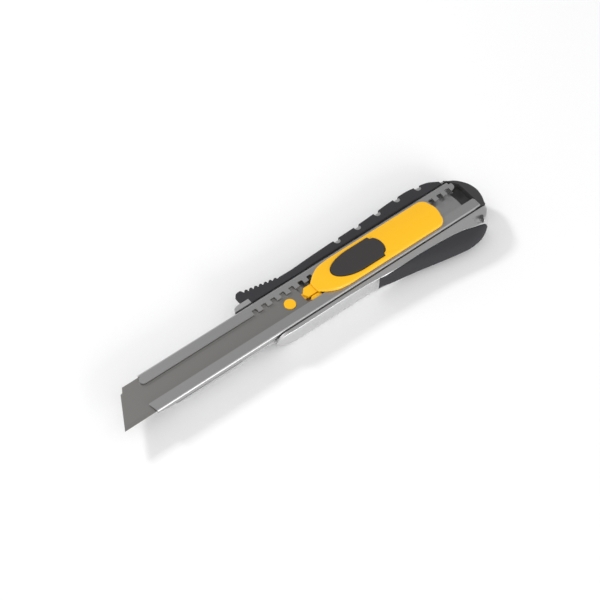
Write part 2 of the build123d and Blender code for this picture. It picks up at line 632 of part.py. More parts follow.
# ---- writing -------------------------------------------------------------------------
PARTS = {
    "handle_casting": handle_casting,
    "blade_channel": blade_channel,
    "channel_rivets": channel_rivets,
    "spine_grip": spine_grip,
    "belly_grip": belly_grip,
    "blade": blade,
    "blade_carrier": blade_carrier,
    "carrier_pins": carrier_pins,
    "slider_carriage": slider_carriage,
    "slider_cover": slider_cover,
    "cover_screws": cover_screws,
    "lock_spring": lock_spring,
    "lock_spring_rivet": leaf_rivet,
    "drag_spring": drag_spring,
    "thumb_pad": thumb_pad,
    "button_core": button_core,
    "button_spring": button_spring,
    "end_cap": end_cap,
    "cap_clip": cap_clip,
}

os.makedirs("parts", exist_ok=True)
for name, make in PARTS.items():
    export_step(written(make()), f"parts/{name}.step")
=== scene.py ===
from math import asin, cos, pi, radians, sin, sqrt, tan

import bmesh
import bpy
import numpy as np
from bpy.props import FloatProperty, FloatVectorProperty, IntProperty, PointerProperty
from mathutils import Matrix, Vector


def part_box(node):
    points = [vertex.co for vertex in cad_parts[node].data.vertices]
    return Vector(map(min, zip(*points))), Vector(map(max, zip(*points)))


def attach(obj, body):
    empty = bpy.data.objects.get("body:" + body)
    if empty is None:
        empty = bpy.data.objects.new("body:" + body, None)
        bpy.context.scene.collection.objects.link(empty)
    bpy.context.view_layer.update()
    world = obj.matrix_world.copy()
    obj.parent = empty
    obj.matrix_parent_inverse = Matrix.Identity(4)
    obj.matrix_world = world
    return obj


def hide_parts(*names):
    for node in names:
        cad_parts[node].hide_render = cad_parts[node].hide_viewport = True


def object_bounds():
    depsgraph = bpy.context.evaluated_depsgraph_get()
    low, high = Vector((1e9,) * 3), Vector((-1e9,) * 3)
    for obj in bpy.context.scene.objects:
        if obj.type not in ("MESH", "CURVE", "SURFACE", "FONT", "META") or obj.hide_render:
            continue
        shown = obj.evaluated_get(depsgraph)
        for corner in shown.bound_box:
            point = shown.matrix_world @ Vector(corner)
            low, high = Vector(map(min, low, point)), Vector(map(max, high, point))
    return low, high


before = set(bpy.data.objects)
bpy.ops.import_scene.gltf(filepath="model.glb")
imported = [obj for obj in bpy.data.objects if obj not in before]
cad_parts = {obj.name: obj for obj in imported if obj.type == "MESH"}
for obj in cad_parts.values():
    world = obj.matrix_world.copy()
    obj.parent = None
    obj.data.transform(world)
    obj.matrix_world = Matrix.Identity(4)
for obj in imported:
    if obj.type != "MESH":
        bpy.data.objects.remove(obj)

bl_info = {
    "name": "Snap-off Knife Builder",
    "version": (1, 0, 0),
    "blender": (4, 5, 0),
    "location": "3D Viewport > Sidebar > Knife",
    "description": "Builds a snap-off utility knife around its packed frame",
    "category": "Add Mesh",
}

# Shapes are made in millimetres in the knife's design frame: X = 0 at the first rack notch,
# Y = 0 on the channel's centre line, Z = 0 on top of the channel's lips. settle() moves each
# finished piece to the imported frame, in metres.
MM = 0.001
CAD_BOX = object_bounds()
TIP_TO_RACK = 79.74
BLADE_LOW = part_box("blade")[0]
CHANNEL_LOW, CHANNEL_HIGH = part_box("blade_channel")
ORIGIN = Vector((BLADE_LOW.x + TIP_TO_RACK * MM, (CHANNEL_LOW.y + CHANNEL_HIGH.y) / 2, CHANNEL_HIGH.z))


def at(x, y, z):
    """Frame position, in metres, of a design point in millimetres."""
    return ORIGIN + Vector((x, y, z)) * MM


def span(node):
    """Lowest and highest corner of a node, in design millimetres."""
    low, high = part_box(node)
    return (low - ORIGIN) / MM, (high - ORIGIN) / MM


BACK_Z = (CAD_BOX[0][2] - ORIGIN.z) / MM
CHANNEL_HALF = (CHANNEL_HIGH.y - CHANNEL_LOW.y) / MM / 2
CHANNEL_BASE_Z = (CHANNEL_LOW.z - CHANNEL_HIGH.z) / MM

# Belly side: X, then the Y of the top edge, of the widest line and of the foot.
BELLY_STATIONS = np.array([
    (-3.2, -10.7, -10.9, -9.3),
    (0.5, -11.9, -12.3, -9.8),
    (8.0, -12.3, -12.9, -10.2),
    (30.0, -12.3, -12.9, -10.3),
    (45.0, -12.6, -13.0, -10.5),
    (54.0, -13.2, -13.8, -11.2),
    (64.0, -13.6, -15.4, -12.0),
    (74.0, -13.6, -17.3, -12.8),
    (84.0, -13.9, -19.5, -13.7),
    (93.0, -14.5, -21.2, -14.5),
    (99.0, -15.3, -22.0, -15.1),
    (104.0, -16.2, -21.6, -15.2),
    (108.0, -16.6, -20.4, -15.0),
    (111.0, -16.0, -18.8, -14.4),
    (113.5, -14.5, -16.8, -13.4),
    (116.0, -12.3, -13.8, -11.9),
    (117.3, -10.1, -10.5, -10.3),
])
# Edge of the belly rubber, seen from above.
RUBBER_EDGE = np.array([
    (52.2, -13.0), (53.6, -13.4), (57.0, -13.7), (65.0, -13.85), (74.0, -13.75),
    (85.0, -14.0), (93.0, -14.6), (100.0, -15.8), (105.0, -17.2), (109.0, -18.1), (112.4, -18.6),
])
# Outside of the spine rubber behind the thumb ridges, seen from above.
SPINE_LINE = np.array([
    (18.4, 13.9), (24.0, 13.8), (34.0, 14.3), (48.0, 14.8), (60.0, 15.1), (72.0, 15.7),
    (84.0, 16.5), (92.0, 16.7), (98.0, 16.1), (104.0, 15.0), (107.5, 13.2), (109.3, 12.0),
])
SCALLOP_PLACES = (51.0, 63.0, 75.0, 87.0, 99.0)
RIVET_PLACES = (-40.0, -12.0, 60.0)
BELLY_LIP, SPINE_LIP = -4.6, 4.5          # Y of the two edges of the channel's slot
TONGUE_Z = -4.7                           # underside of the casting below the channel
# Outside of the butt cap, seen from above.
CAP_LINE = np.array([
    (110.8, 11.1), (112.6, 10.2), (115.2, 8.7), (118.0, 5.5), (119.7, 2.0),
    (120.2, -1.5), (119.6, -5.0), (117.2, -10.2),
])


# ---- settings ------------------------------------------------------------------------
def length(name, description, millimetres):
    """Length property whose default is given in millimetres."""
    return FloatProperty(name=name, description=description, default=millimetres * MM,
                         min=0.0, precision=5, unit="LENGTH", subtype="DISTANCE")


def angle(name, description, degrees):
    """Angle property whose default is given in degrees."""
    return FloatProperty(name=name, description=description, default=radians(degrees), subtype="ANGLE")


def colour(name, description, value):
    """Colour property."""
    return FloatVectorProperty(name=name, description=description, default=value, size=3,
                               min=0.0, max=1.0, subtype="COLOR")


def share(name, description, value, most=1.0):
    """Factor property."""
    return FloatProperty(name=name, description=description, default=value, min=0.0, max=most,
                         subtype="FACTOR")


class BladeSettings(bpy.types.PropertyGroup):
    """Sizes of the snap-off blade."""

    snap_angle: angle("Snap angle", "Angle of the tip and the score lines to the edge", 60.0)
    bevel_width: length("Bevel width", "Width of the ground bevel along the edge", 1.8)
    segment: length("Segment", "Distance from one score line to the next", 10.0)
    scores: IntProperty(name="Score lines", description="Number of score lines", default=7, min=0)
    score_depth: length("Score depth", "Depth of each score line", 0.12)
    hole: length("Hole", "Diameter of the hole at the blade's tail", 5.6)


class ChannelSettings(bpy.types.PropertyGroup):
    """Sizes of the folded channel and its rack."""

    sheet: length("Sheet", "Thickness of the sheet", 0.7)
    fold: length("Fold radius", "Outer radius of the folds", 1.1)
    rack_pitch: length("Rack pitch", "Distance from one notch to the next", 5.0)
    notch_width: length("Notch width", "Width of each notch", 2.5)
    notch_depth: length("Notch depth", "Depth of each notch into the lip", 2.2)
    notches: IntProperty(name="Notches", description="Number of notches", default=23, min=1)


class HandleSettings(bpy.types.PropertyGroup):
    """Sizes of the casting and its rubber grips."""

    rim_round: length("Rim rounding", "Rounding of the casting's edges", 0.25)
    rubber_round: length("Rubber rounding", "Rounding of the rubber's edges", 0.55)
    scallop_width: length("Scallop width", "Width of each finger scallop", 3.2)
    scallop_depth: length("Scallop depth", "Depth of each finger scallop", 2.6)
    ridge_pitch: length("Ridge pitch", "Distance between the thumb ridges", 2.3)
    ridges: IntProperty(name="Ridges", description="Number of thumb ridges", default=7, min=1)


class SliderSettings(bpy.types.PropertyGroup):
    """Sizes of the slider's cover and thumb pad."""

    cover_round: length("Cover rounding", "Rounding of the cover's rim", 0.7)
    pad_round: length("Pad rounding", "Rounding of the pad's rim", 0.4)
    pad_gap: length("Pad gap", "Gap between the pad and the cover", 0.25)
    pad_dish: length("Pad dish", "Depth of the dish in the middle of the pad", 0.12)


class FinishSettings(bpy.types.PropertyGroup):
    """Colours of the finishes, and their edge wear with painted edge highlight."""

    casting: colour("Casting", "Colour of the die-cast metal", (0.80, 0.805, 0.81))
    channel: colour("Channel", "Colour of the rolled sheet", (0.66, 0.66, 0.66))
    blade: colour("Blade", "Colour of the blade steel", (0.47, 0.466, 0.458))
    spring: colour("Springs", "Colour of the spring steel", (0.42, 0.43, 0.46))
    fastener: colour("Fasteners", "Colour of the plated fasteners", (0.62, 0.62, 0.60))
    rubber: colour("Rubber", "Colour of the rubber grips", (0.006, 0.006, 0.0065))
    pad: colour("Pad", "Colour of the thumb pad", (0.006, 0.0055, 0.0055))
    yellow: colour("Yellow", "Colour of the slider's plastic", (0.84, 0.45, 0.001))
    black: colour("Black", "Colour of the black plastic", (0.013, 0.013, 0.014))
    # Strength of the lighter edges: partly wear, partly a painted highlight on every rounded edge.
    wear_and_highlight: share("Edge wear", "How strongly edges are worn", 0.6)


class StageSettings(bpy.types.PropertyGroup):
    """Camera and lights."""

    azimuth: angle("Azimuth", "Camera's turn about the knife", -42.6)
    elevation: angle("Elevation", "Camera's height angle", 53.6)
    roll: angle("Roll", "Camera's roll", 4.2)
    distance: length("Distance", "Camera's distance from the knife", 794.2)
    lens: FloatProperty(name="Lens", description="Focal length", default=111.8, unit="CAMERA")
    fill: FloatProperty(name="Fill", description="Strength of the surrounding light", default=0.88, min=0.0)
    key: FloatProperty(name="Key", description="Power of the key light", default=7.5, min=0.0, unit="POWER")


SETTINGS = {
    "knife_blade": BladeSettings,
    "knife_channel": ChannelSettings,
    "knife_handle": HandleSettings,
    "knife_slider": SliderSettings,
    "knife_finish": FinishSettings,
    "knife_stage": StageSettings,
}


def settings(name):
    """One settings group of the scene."""
    return getattr(bpy.context.scene, f"knife_{name}")


# ---- outlines ------------------------------------------------------------------------
def smooth_line(stations, x, column=1):
    """Monotone cubic through the stations' column, at each X."""
    xs, ys = stations[:, 0], stations[:, column]
    gap = np.diff(xs)
    step = np.diff(ys) / gap
    total = step[:-1] + step[1:]
    same = step[:-1] * step[1:] > 0
    inner = np.where(same, 2 * step[:-1] * step[1:] / np.where(same, total, 1.0), 0.0)
    slope = np.concatenate([step[:1], inner, step[-1:]])
    x = np.asarray(x, dtype=float)
    i = np.clip(np.searchsorted(xs, x, side="right") - 1, 0, len(gap) - 1)
    t = (x - xs[i]) / gap[i]
    rise = (3 - 2 * t) * t * t
    lead = t * (1 - t) ** 2 * slope[i] - t * t * (1 - t) * slope[i + 1]
    return ys[i] + (ys[i + 1] - ys[i]) * rise + gap[i] * lead


def smooth_path(points, count):
    """Smooth open curve through plan points, evenly stepped along the points' chords."""
    points = np.asarray(points, dtype=float)
    chord = np.concatenate([[0], np.cumsum(np.linalg.norm(np.diff(points, axis=0), axis=1))])
    where = np.linspace(0, chord[-1], count)
    columns = [smooth_line(np.column_stack([chord, points[:, k]]), where) for k in (0, 1)]
    return np.column_stack(columns)


def arc(centre, radius, start, end, steps=6):
    """Points on an arc, angles in degrees."""
    turns = np.radians(np.linspace(start, end, steps + 1))
    return [(centre[0] + radius * cos(t), centre[1] + radius * sin(t)) for t in turns]


def rounded(points, radius, steps=5):
    """Closed outline with every corner rounded."""
    points = [np.array(p, dtype=float) for p in points]
    outline = []
    for i, corner in enumerate(points):
        before, after = points[i - 1] - corner, points[(i + 1) % len(points)] - corner
        reach = min(radius, 0.45 * np.linalg.norm(before), 0.45 * np.linalg.norm(after))
        start = corner + before / np.linalg.norm(before) * reach
        end = corner + after / np.linalg.norm(after) * reach
        for t in np.linspace(0, 1, steps + 1):
            outline.append(tuple((1 - t) ** 2 * start + 2 * t * (1 - t) * corner + t * t * end))
    return outline


def circle(x, y, diameter, steps=48):
    """Closed round outline."""
    return arc((x, y), diameter / 2, 0, 360 * (steps - 1) / steps, steps - 1)


def resampled(outline, pitch):
    """Closed outline with points every pitch along its sides, corners kept."""
    outline = np.asarray(outline, dtype=float)
    result = []
    for start, end in zip(outline, np.roll(outline, -1, axis=0)):
        count = max(1, int(np.linalg.norm(end - start) / pitch))
        for k in range(count):
            result.append(start + (end - start) * k / count)
    return np.array(result)


def ray_hits(outline, centre, turns):
    """Where rays from the centre leave a closed outline."""
    start, side = outline, np.roll(outline, -1, axis=0) - outline
    hits = []
    for turn in turns:
        ray = np.array([cos(turn), sin(turn)])
        cross = ray[0] * side[:, 1] - ray[1] * side[:, 0]
        cross = np.where(np.abs(cross) < 1e-12, 1e-12, cross)
        rel = start - centre
        far = (rel[:, 0] * side[:, 1] - rel[:, 1] * side[:, 0]) / cross
        along = (rel[:, 0] * ray[1] - rel[:, 1] * ray[0]) / cross
        good = (far > 0) & (along >= -1e-9) & (along <= 1 + 1e-9)
        hits.append(centre + ray * far[good].max())
    return np.array(hits)


def outward_normals(outline):
    """Unit normals of a closed outline that runs anticlockwise."""
    run = np.roll(outline, -1, axis=0) - np.roll(outline, 1, axis=0)
    normal = np.column_stack([run[:, 1], -run[:, 0]])
    return normal / np.linalg.norm(normal, axis=1)[:, None]


def rim_drop(distance, radius):
    """How far a rounded rim falls below the surface at a distance from the edge."""
    rest = np.clip(1 - distance / radius, 0, 1)
    return radius * (1 - np.sqrt(1 - rest ** 2))


def quarter(t):
    """Quarter-circle rise from 0 to 1."""
    t = np.clip(t, 0, 1)
    return np.sqrt(1 - (1 - t) ** 2)


# ---- meshes --------------------------------------------------------------------------
def mesh_object(name, points, faces):
    """Object in the scene from points and faces, doubles merged and faces turned outwards."""
    mesh = bpy.data.meshes.new(name)
    mesh.from_pydata([tuple(map(float, p)) for p in points], [], faces)
    obj = bpy.data.objects.new(name, mesh)
    bpy.context.scene.collection.objects.link(obj)
    tidy_mesh(obj)
    return obj


def tidy_mesh(obj, merge=1e-4, flat=None):
    """Merges doubles, joins coplanar faces if asked, and turns faces outwards."""
    work = bmesh.new()
    work.from_mesh(obj.data)
    bmesh.ops.remove_doubles(work, verts=work.verts, dist=merge)
    bmesh.ops.dissolve_degenerate(work, edges=work.edges, dist=merge)
    if flat is not None:
        bmesh.ops.dissolve_limit(work, angle_limit=radians(flat), verts=work.verts, edges=work.edges)
    bmesh.ops.recalc_face_normals(work, faces=work.faces)
    work.to_mesh(obj.data)
    work.free()


def prism(name, outline, low, high, axis="Z"):
    """Prism on a closed outline; along Y the outline is X, Z and along X it is Y, Z."""
    order = {"Z": lambda u, v, w: (u, v, w), "Y": lambda u, v, w: (u, w, v), "X": lambda u, v, w: (w, u, v)}
    place = order[axis]
    count = len(outline)
    points = [place(u, v, w) for w in (low, high) for u, v in outline]
    sides = [(i, (i + 1) % count, count + (i + 1) % count, count + i) for i in range(count)]
    return mesh_object(name, points, [tuple(range(count)), tuple(range(count, 2 * count)), *sides])


def block(x0, x1, y0, y1, z0, z1):
    """Rectangular block, for cuts."""
    return prism("block", [(x0, y0), (x1, y0), (x1, y1), (x0, y1)], z0, z1)


def loft(name, rings, ring_closed=True, wrap=False, caps=True):
    """Skin over rings of equal length; wrap joins the last ring to the first."""
    rings = [list(ring) for ring in rings]
    count = len(rings[0])
    points = [point for ring in rings for point in ring]
    faces = []
    last = len(rings) if wrap else len(rings) - 1
    across = count if ring_closed else count - 1
    for r in range(last):
        near, far = r * count, (r + 1) % len(rings) * count
        for i in range(across):
            j = (i + 1) % count
            faces.append((near + i, near + j, far + j, far + i))
    if caps and not wrap:
        faces.append(tuple(range(count)))
        faces.append(tuple(range(len(points) - count, len(points))))
    return mesh_object(name, points, faces)


def discard(*objects):
    """Removes helper objects."""
    for obj in objects:
        mesh = obj.data
        bpy.data.objects.remove(obj)
        bpy.data.meshes.remove(mesh)


def freeze(obj):
    """Turns an object with modifiers into a plain mesh."""
    bpy.context.view_layer.update()
    graph = bpy.context.evaluated_depsgraph_get()
    mesh = bpy.data.meshes.new_from_object(obj.evaluated_get(graph), depsgraph=graph)
    if not mesh.polygons:
        raise RuntimeError(f"{obj.name} came out empty")
    old = obj.data
    obj.modifiers.clear()
    obj.data = mesh
    bpy.data.meshes.remove(old)
    return obj


def combine(obj, other, operation="DIFFERENCE"):
    """Boolean with another object, which is used up."""
    modifier = obj.modifiers.new("combine", "BOOLEAN")
    modifier.operation = operation
    modifier.solver = "EXACT"
    modifier.object = other
    freeze(obj)
    discard(other)
    return obj


def bevelled(obj, width, segments=2, limit=32.0):
    """Rounds the edges sharper than the limit."""
    tidy_mesh(obj, merge=2e-3, flat=0.4)
    modifier = obj.modifiers.new("round", "BEVEL")
    modifier.width = width
    modifier.segments = segments
    modifier.limit_method = "ANGLE"
    modifier.angle_limit = radians(limit)
    modifier.use_clamp_overlap = True
    return freeze(obj)


def cad_copy(node, name):
    """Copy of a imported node's mesh, doubles merged, in design millimetres."""
    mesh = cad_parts[node].data.copy()
    mesh.transform(Matrix.Scale(1 / MM, 4) @ Matrix.Translation(-ORIGIN))
    mesh.materials.clear()
    obj = bpy.data.objects.new(name, mesh)
    bpy.context.scene.collection.objects.link(obj)
    tidy_mesh(obj, merge=1e-3, flat=0.4)
    return obj


def settle(obj, name, body, nodes, material, sharp=38.0):
    obj.name = name
    obj.data.name = name
    obj.data.transform(Matrix.Translation(ORIGIN) @ Matrix.Scale(MM, 4))
    obj.data.shade_smooth()
    obj.data.set_sharp_from_angle(angle=radians(sharp))
    weighted = obj.modifiers.new("normals", "WEIGHTED_NORMAL")
    weighted.keep_sharp = True
    weighted.weight = 90
    freeze(obj)
    obj.data.materials.clear()
    obj.data.materials.append(material)
    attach(obj, body)
    if nodes:
        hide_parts(*nodes)
    return obj


# ---- geometry node trees -------------------------------------------------------------
def add_node(tree, kind, inputs=None, **values):
    """Node with its attributes and some input sockets set by name."""
    node = tree.nodes.new(kind)
    for key, value in values.items():
        setattr(node, key, value)
    for key, value in (inputs or {}).items():
        node.inputs[key].default_value = value
    return node


def geometry_tree(name, **inputs):
    """Empty geometry node tree with a Body in and out and the named inputs."""
    tree = bpy.data.node_groups.new(name, "GeometryNodeTree")
    tree.is_modifier = True
    for label, kind in {"Body": "Geometry", **inputs, "Material": "Material"}.items():
        tree.interface.new_socket(label, in_out="INPUT", socket_type=f"NodeSocket{kind}")
    tree.interface.new_socket("Body", in_out="OUTPUT", socket_type="NodeSocketGeometry")
    return tree, add_node(tree, "NodeGroupInput"), add_node(tree, "NodeGroupOutput")


def finish_tree(tree, given, result, source):
    """Ends a geometry node tree: real geometry with its material."""
    real = add_node(tree, "GeometryNodeRealizeInstances")
    paint = add_node(tree, "GeometryNodeSetMaterial")
    tree.links.new(source, real.inputs["Geometry"])
    tree.links.new(real.outputs["Geometry"], paint.inputs["Geometry"])
    tree.links.new(given.outputs["Material"], paint.inputs["Material"])
    tree.links.new(paint.outputs["Geometry"], result.inputs["Body"])
    return tree


def row_tree(use):
    """Tree that puts a piece in a row and cuts it from the body, fuses it or places it alone."""
    name = f"row_{use}"
    if name in bpy.data.node_groups:
        return bpy.data.node_groups[name]
    tree, given, result = geometry_tree(name, Piece="Object", First="Vector", Step="Vector", Count="Int")
    line = add_node(tree, "GeometryNodeMeshLine", mode="OFFSET", count_mode="TOTAL")
    piece = add_node(tree, "GeometryNodeObjectInfo", transform_space="ORIGINAL")
    place = add_node(tree, "GeometryNodeInstanceOnPoints")
    link = tree.links.new
    link(given.outputs["Count"], line.inputs["Count"])
    link(given.outputs["First"], line.inputs["Start Location"])
    link(given.outputs["Step"], line.inputs["Offset"])
    link(given.outputs["Piece"], piece.inputs["Object"])
    link(line.outputs["Mesh"], place.inputs["Points"])
    link(piece.outputs["Geometry"], place.inputs["Instance"])
    source = place.outputs["Instances"]
    if use != "alone":
        first_real = add_node(tree, "GeometryNodeRealizeInstances")
        solid = add_node(tree, "GeometryNodeMeshBoolean",
                         operation={"cut": "DIFFERENCE", "fused": "UNION"}[use], solver="EXACT")
        link(source, first_real.inputs["Geometry"])
        if use == "cut":
            link(given.outputs["Body"], solid.inputs["Mesh 1"])
        link(first_real.outputs["Geometry"], solid.inputs["Mesh 2"])
        if use == "fused":
            link(given.outputs["Body"], solid.inputs["Mesh 2"])
        source = solid.outputs["Mesh"]
    return finish_tree(tree, given, result, source)


def scallop_tree():
    """Tree that cuts a round-bottomed notch at each vertex of the places object."""
    sizes = {"Width": "Float", "Depth": "Float", "Height": "Float"}
    tree, given, result = geometry_tree("scallops", Places="Object", **sizes)
    link = tree.links.new
    radius = add_node(tree, "ShaderNodeMath", operation="MULTIPLY")
    radius.inputs[1].default_value = 0.5
    inset = add_node(tree, "ShaderNodeMath", operation="SUBTRACT")
    spot = add_node(tree, "ShaderNodeCombineXYZ")
    drum = add_node(tree, "GeometryNodeMeshCylinder", {"Vertices": 40})
    mouth_size = add_node(tree, "ShaderNodeCombineXYZ")
    mouth = add_node(tree, "GeometryNodeMeshCube")
    mouth_spot = add_node(tree, "ShaderNodeMath", operation="ADD")
    mouth_place = add_node(tree, "ShaderNodeCombineXYZ")
    drum_move = add_node(tree, "GeometryNodeTransform")
    mouth_move = add_node(tree, "GeometryNodeTransform")
    notch = add_node(tree, "GeometryNodeMeshBoolean", operation="UNION", solver="EXACT")
    places = add_node(tree, "GeometryNodeObjectInfo", transform_space="ORIGINAL")
    place = add_node(tree, "GeometryNodeInstanceOnPoints")
    notches = add_node(tree, "GeometryNodeRealizeInstances")
    solid = add_node(tree, "GeometryNodeMeshBoolean", operation="DIFFERENCE", solver="EXACT")
    link(given.outputs["Width"], radius.inputs[0])
    link(radius.outputs[0], drum.inputs["Radius"])
    link(given.outputs["Height"], drum.inputs["Depth"])
    link(radius.outputs[0], inset.inputs[0])
    link(given.outputs["Depth"], inset.inputs[1])
    link(inset.outputs[0], spot.inputs["Y"])
    link(spot.outputs[0], drum_move.inputs["Translation"])
    link(drum.outputs["Mesh"], drum_move.inputs["Geometry"])
    link(given.outputs["Width"], mouth_size.inputs["X"])
    link(given.outputs["Height"], mouth_size.inputs["Y"])
    link(given.outputs["Height"], mouth_size.inputs["Z"])
    link(mouth_size.outputs[0], mouth.inputs["Size"])
    half_height = add_node(tree, "ShaderNodeMath", operation="MULTIPLY")
    half_height.inputs[1].default_value = 0.5
    link(given.outputs["Height"], half_height.inputs[0])
    link(inset.outputs[0], mouth_spot.inputs[0])
    link(half_height.outputs[0], mouth_spot.inputs[1])
    link(mouth_spot.outputs[0], mouth_place.inputs["Y"])
    link(mouth_place.outputs[0], mouth_move.inputs["Translation"])
    link(mouth.outputs["Mesh"], mouth_move.inputs["Geometry"])
    link(drum_move.outputs["Geometry"], notch.inputs["Mesh 2"])
    link(mouth_move.outputs["Geometry"], notch.inputs["Mesh 2"])
    link(given.outputs["Places"], places.inputs["Object"])
    link(places.outputs["Geometry"], place.inputs["Points"])
    link(notch.outputs["Mesh"], place.inputs["Instance"])
    link(place.outputs["Instances"], notches.inputs["Geometry"])
    link(given.outputs["Body"], solid.inputs["Mesh 1"])
    link(notches.outputs["Geometry"], solid.inputs["Mesh 2"])
    return finish_tree(tree, given, result, solid.outputs["Mesh"])


def run_tree(obj, tree, **values):
    """Runs a node tree on an object and keeps the result as a plain mesh."""
    sockets = {item.name: item.identifier for item in tree.interface.items_tree if item.in_out == "INPUT"}
    modifier = obj.modifiers.new(tree.name, "NODES")
    modifier.node_group = tree
    for name, value in values.items():
        modifier[sockets[name]] = value
    obj.update_tag()
    return freeze(obj)


def row(obj, use, piece, first, step, count, material):
    """Runs the row tree with a helper piece, which is used up."""
    run_tree(obj, row_tree(use), Piece=piece, First=first, Step=step, Count=count, Material=material)
    discard(piece)
    return obj


def row_of(name, piece, first, step, count, material):
    """New object that holds a row of pieces."""
    seed = mesh_object(name, [(0, 0, 0)], [])
    return row(seed, "alone", piece, first, step, count, material)


# ---- shader groups -------------------------------------------------------------------
def shader_group(name, inputs, outputs):
    """Empty shader node group with its sockets; returns the tree, its input and output node."""
    tree = bpy.data.node_groups.new(name, "ShaderNodeTree")
    for label, kind, value in inputs:
        socket = tree.interface.new_socket(label, in_out="INPUT", socket_type=f"NodeSocket{kind}")
        socket.default_value = value
    for label, kind in outputs:
        tree.interface.new_socket(label, in_out="OUTPUT", socket_type=f"NodeSocket{kind}")
    return tree, add_node(tree, "NodeGroupInput"), add_node(tree, "NodeGroupOutput")


def stretched_noise(tree, given, detail=3.0):
    """Noise on object coordinates, stretched by the group's Stretch and Scale inputs."""
    link = tree.links.new
    where = add_node(tree, "ShaderNodeTexCoord")
    stretch = add_node(tree, "ShaderNodeVectorMath", operation="MULTIPLY")
    noise = add_node(tree, "ShaderNodeTexNoise", {"Detail": detail, "Roughness": 0.6})
    link(where.outputs["Object"], stretch.inputs[0])
    link(given.outputs["Stretch"], stretch.inputs[1])
    link(stretch.outputs[0], noise.inputs["Vector"])
    link(given.outputs["Scale"], noise.inputs["Scale"])
    return noise


def grain_group():
    """Fine stretched grain: a height for bumps and a value about one for colour."""
    tree, given, result = shader_group(
        "surface_grain",
        [("Stretch", "Vector", (1, 1, 1)), ("Scale", "Float", 5000.0), ("Contrast", "Float", 0.1)],
        [("Height", "Float"), ("Value", "Float")],
    )
    noise = stretched_noise(tree, given)
    spread = add_node(tree, "ShaderNodeMath", operation="MULTIPLY_ADD")
    centre = add_node(tree, "ShaderNodeMath", operation="SUBTRACT")
    centre.inputs[1].default_value = 0.5
    spread.inputs[2].default_value = 1.0
    link = tree.links.new
    link(noise.outputs["Fac"], centre.inputs[0])
    link(centre.outputs[0], spread.inputs[0])
    link(given.outputs["Contrast"], spread.inputs[1])
    link(noise.outputs["Fac"], result.inputs["Height"])
    link(spread.outputs[0], result.inputs["Value"])
    return tree


def edge_wear_and_highlight_group():
    """Mask of the lighter edges, worn and with painted highlight: where a rounded normal leaves the true one,
    broken up by noise.
    """
    tree, given, result = shader_group(
        "edge_wear_and_highlight",
        [("Radius", "Float", 0.0003), ("Amount", "Float", 0.5), ("Stretch", "Vector", (1, 1, 1)),
         ("Scale", "Float", 900.0)],
        [("Mask", "Float")],
    )
    link = tree.links.new
    noise = stretched_noise(tree, given, detail=4.0)
    soft = add_node(tree, "ShaderNodeBevel", samples=4)
    true = add_node(tree, "ShaderNodeNewGeometry")
    dot = add_node(tree, "ShaderNodeVectorMath", operation="DOT_PRODUCT")
    edge = add_node(tree, "ShaderNodeMapRange",
                    {"From Min": 0.995, "From Max": 0.86, "To Min": 0.0, "To Max": 1.0})
    broken = add_node(tree, "ShaderNodeMapRange",
                      {"From Min": 0.35, "From Max": 0.62, "To Min": 0.25, "To Max": 1.0})
    both = add_node(tree, "ShaderNodeMath", operation="MULTIPLY")
    amount = add_node(tree, "ShaderNodeMath", operation="MULTIPLY", use_clamp=True)
    link(given.outputs["Radius"], soft.inputs["Radius"])
    link(soft.outputs["Normal"], dot.inputs[0])
    link(true.outputs["Normal"], dot.inputs[1])
    link(dot.outputs["Value"], edge.inputs["Value"])
    link(noise.outputs["Fac"], broken.inputs["Value"])
    link(edge.outputs[0], both.inputs[0])
    link(broken.outputs[0], both.inputs[1])
    link(both.outputs[0], amount.inputs[0])
    link(given.outputs["Amount"], amount.inputs[1])
    link(amount.outputs[0], result.inputs["Mask"])
    return tree


def smudge_group():
    """Slow patches for roughness, as hands and polishing leave them."""
    tree, given, result = shader_group(
        "smudges",
        [("Stretch", "Vector", (1, 1, 1)), ("Scale", "Float", 60.0), ("Low", "Float", 0.3),
         ("High", "Float", 0.4)],
        [("Value", "Float")],
    )
    noise = stretched_noise(tree, given, detail=5.0)
    spread = add_node(tree, "ShaderNodeMapRange", {"From Min": 0.3, "From Max": 0.7})
    link = tree.links.new
    link(noise.outputs["Fac"], spread.inputs["Value"])
    link(given.outputs["Low"], spread.inputs["To Min"])
    link(given.outputs["High"], spread.inputs["To Max"])
    link(spread.outputs[0], result.inputs["Value"])
    return tree


def pebble_group():
    """Pebbled skin of moulded rubber and plastic."""
    tree, given, result = shader_group(
        "pebbles",
        [("Scale", "Float", 2500.0), ("Depth", "Float", 1.0)],
        [("Height", "Float")],
    )
    link = tree.links.new
    where = add_node(tree, "ShaderNodeTexCoord")
    cells = add_node(tree, "ShaderNodeTexVoronoi", feature="SMOOTH_F1")
    noise = add_node(tree, "ShaderNodeTexNoise", {"Detail": 2.0})
    mixed = add_node(tree, "ShaderNodeMath", operation="MULTIPLY_ADD")
    mixed.inputs[1].default_value = -0.6
    depth = add_node(tree, "ShaderNodeMath", operation="MULTIPLY")
    for texture in (cells, noise):
        link(where.outputs["Object"], texture.inputs["Vector"])
        link(given.outputs["Scale"], texture.inputs["Scale"])
    link(cells.outputs["Distance"], mixed.inputs[0])
    link(noise.outputs["Fac"], mixed.inputs[2])
    link(mixed.outputs[0], depth.inputs[0])
    link(given.outputs["Depth"], depth.inputs[1])
    link(depth.outputs[0], result.inputs["Height"])
    return tree


GROUPS = {
    "surface_grain": grain_group,
    "edge_wear_and_highlight": edge_wear_and_highlight_group,
    "smudges": smudge_group,
    "pebbles": pebble_group,
}


def group_node(tree, name, **values):
    """Places a shader group in a material with its own values."""
    group = bpy.data.node_groups.get(name) or GROUPS[name]()
    node = add_node(tree, "ShaderNodeGroup", node_tree=group)
    for label, value in values.items():
        node.inputs[label].default_value = value
    return node


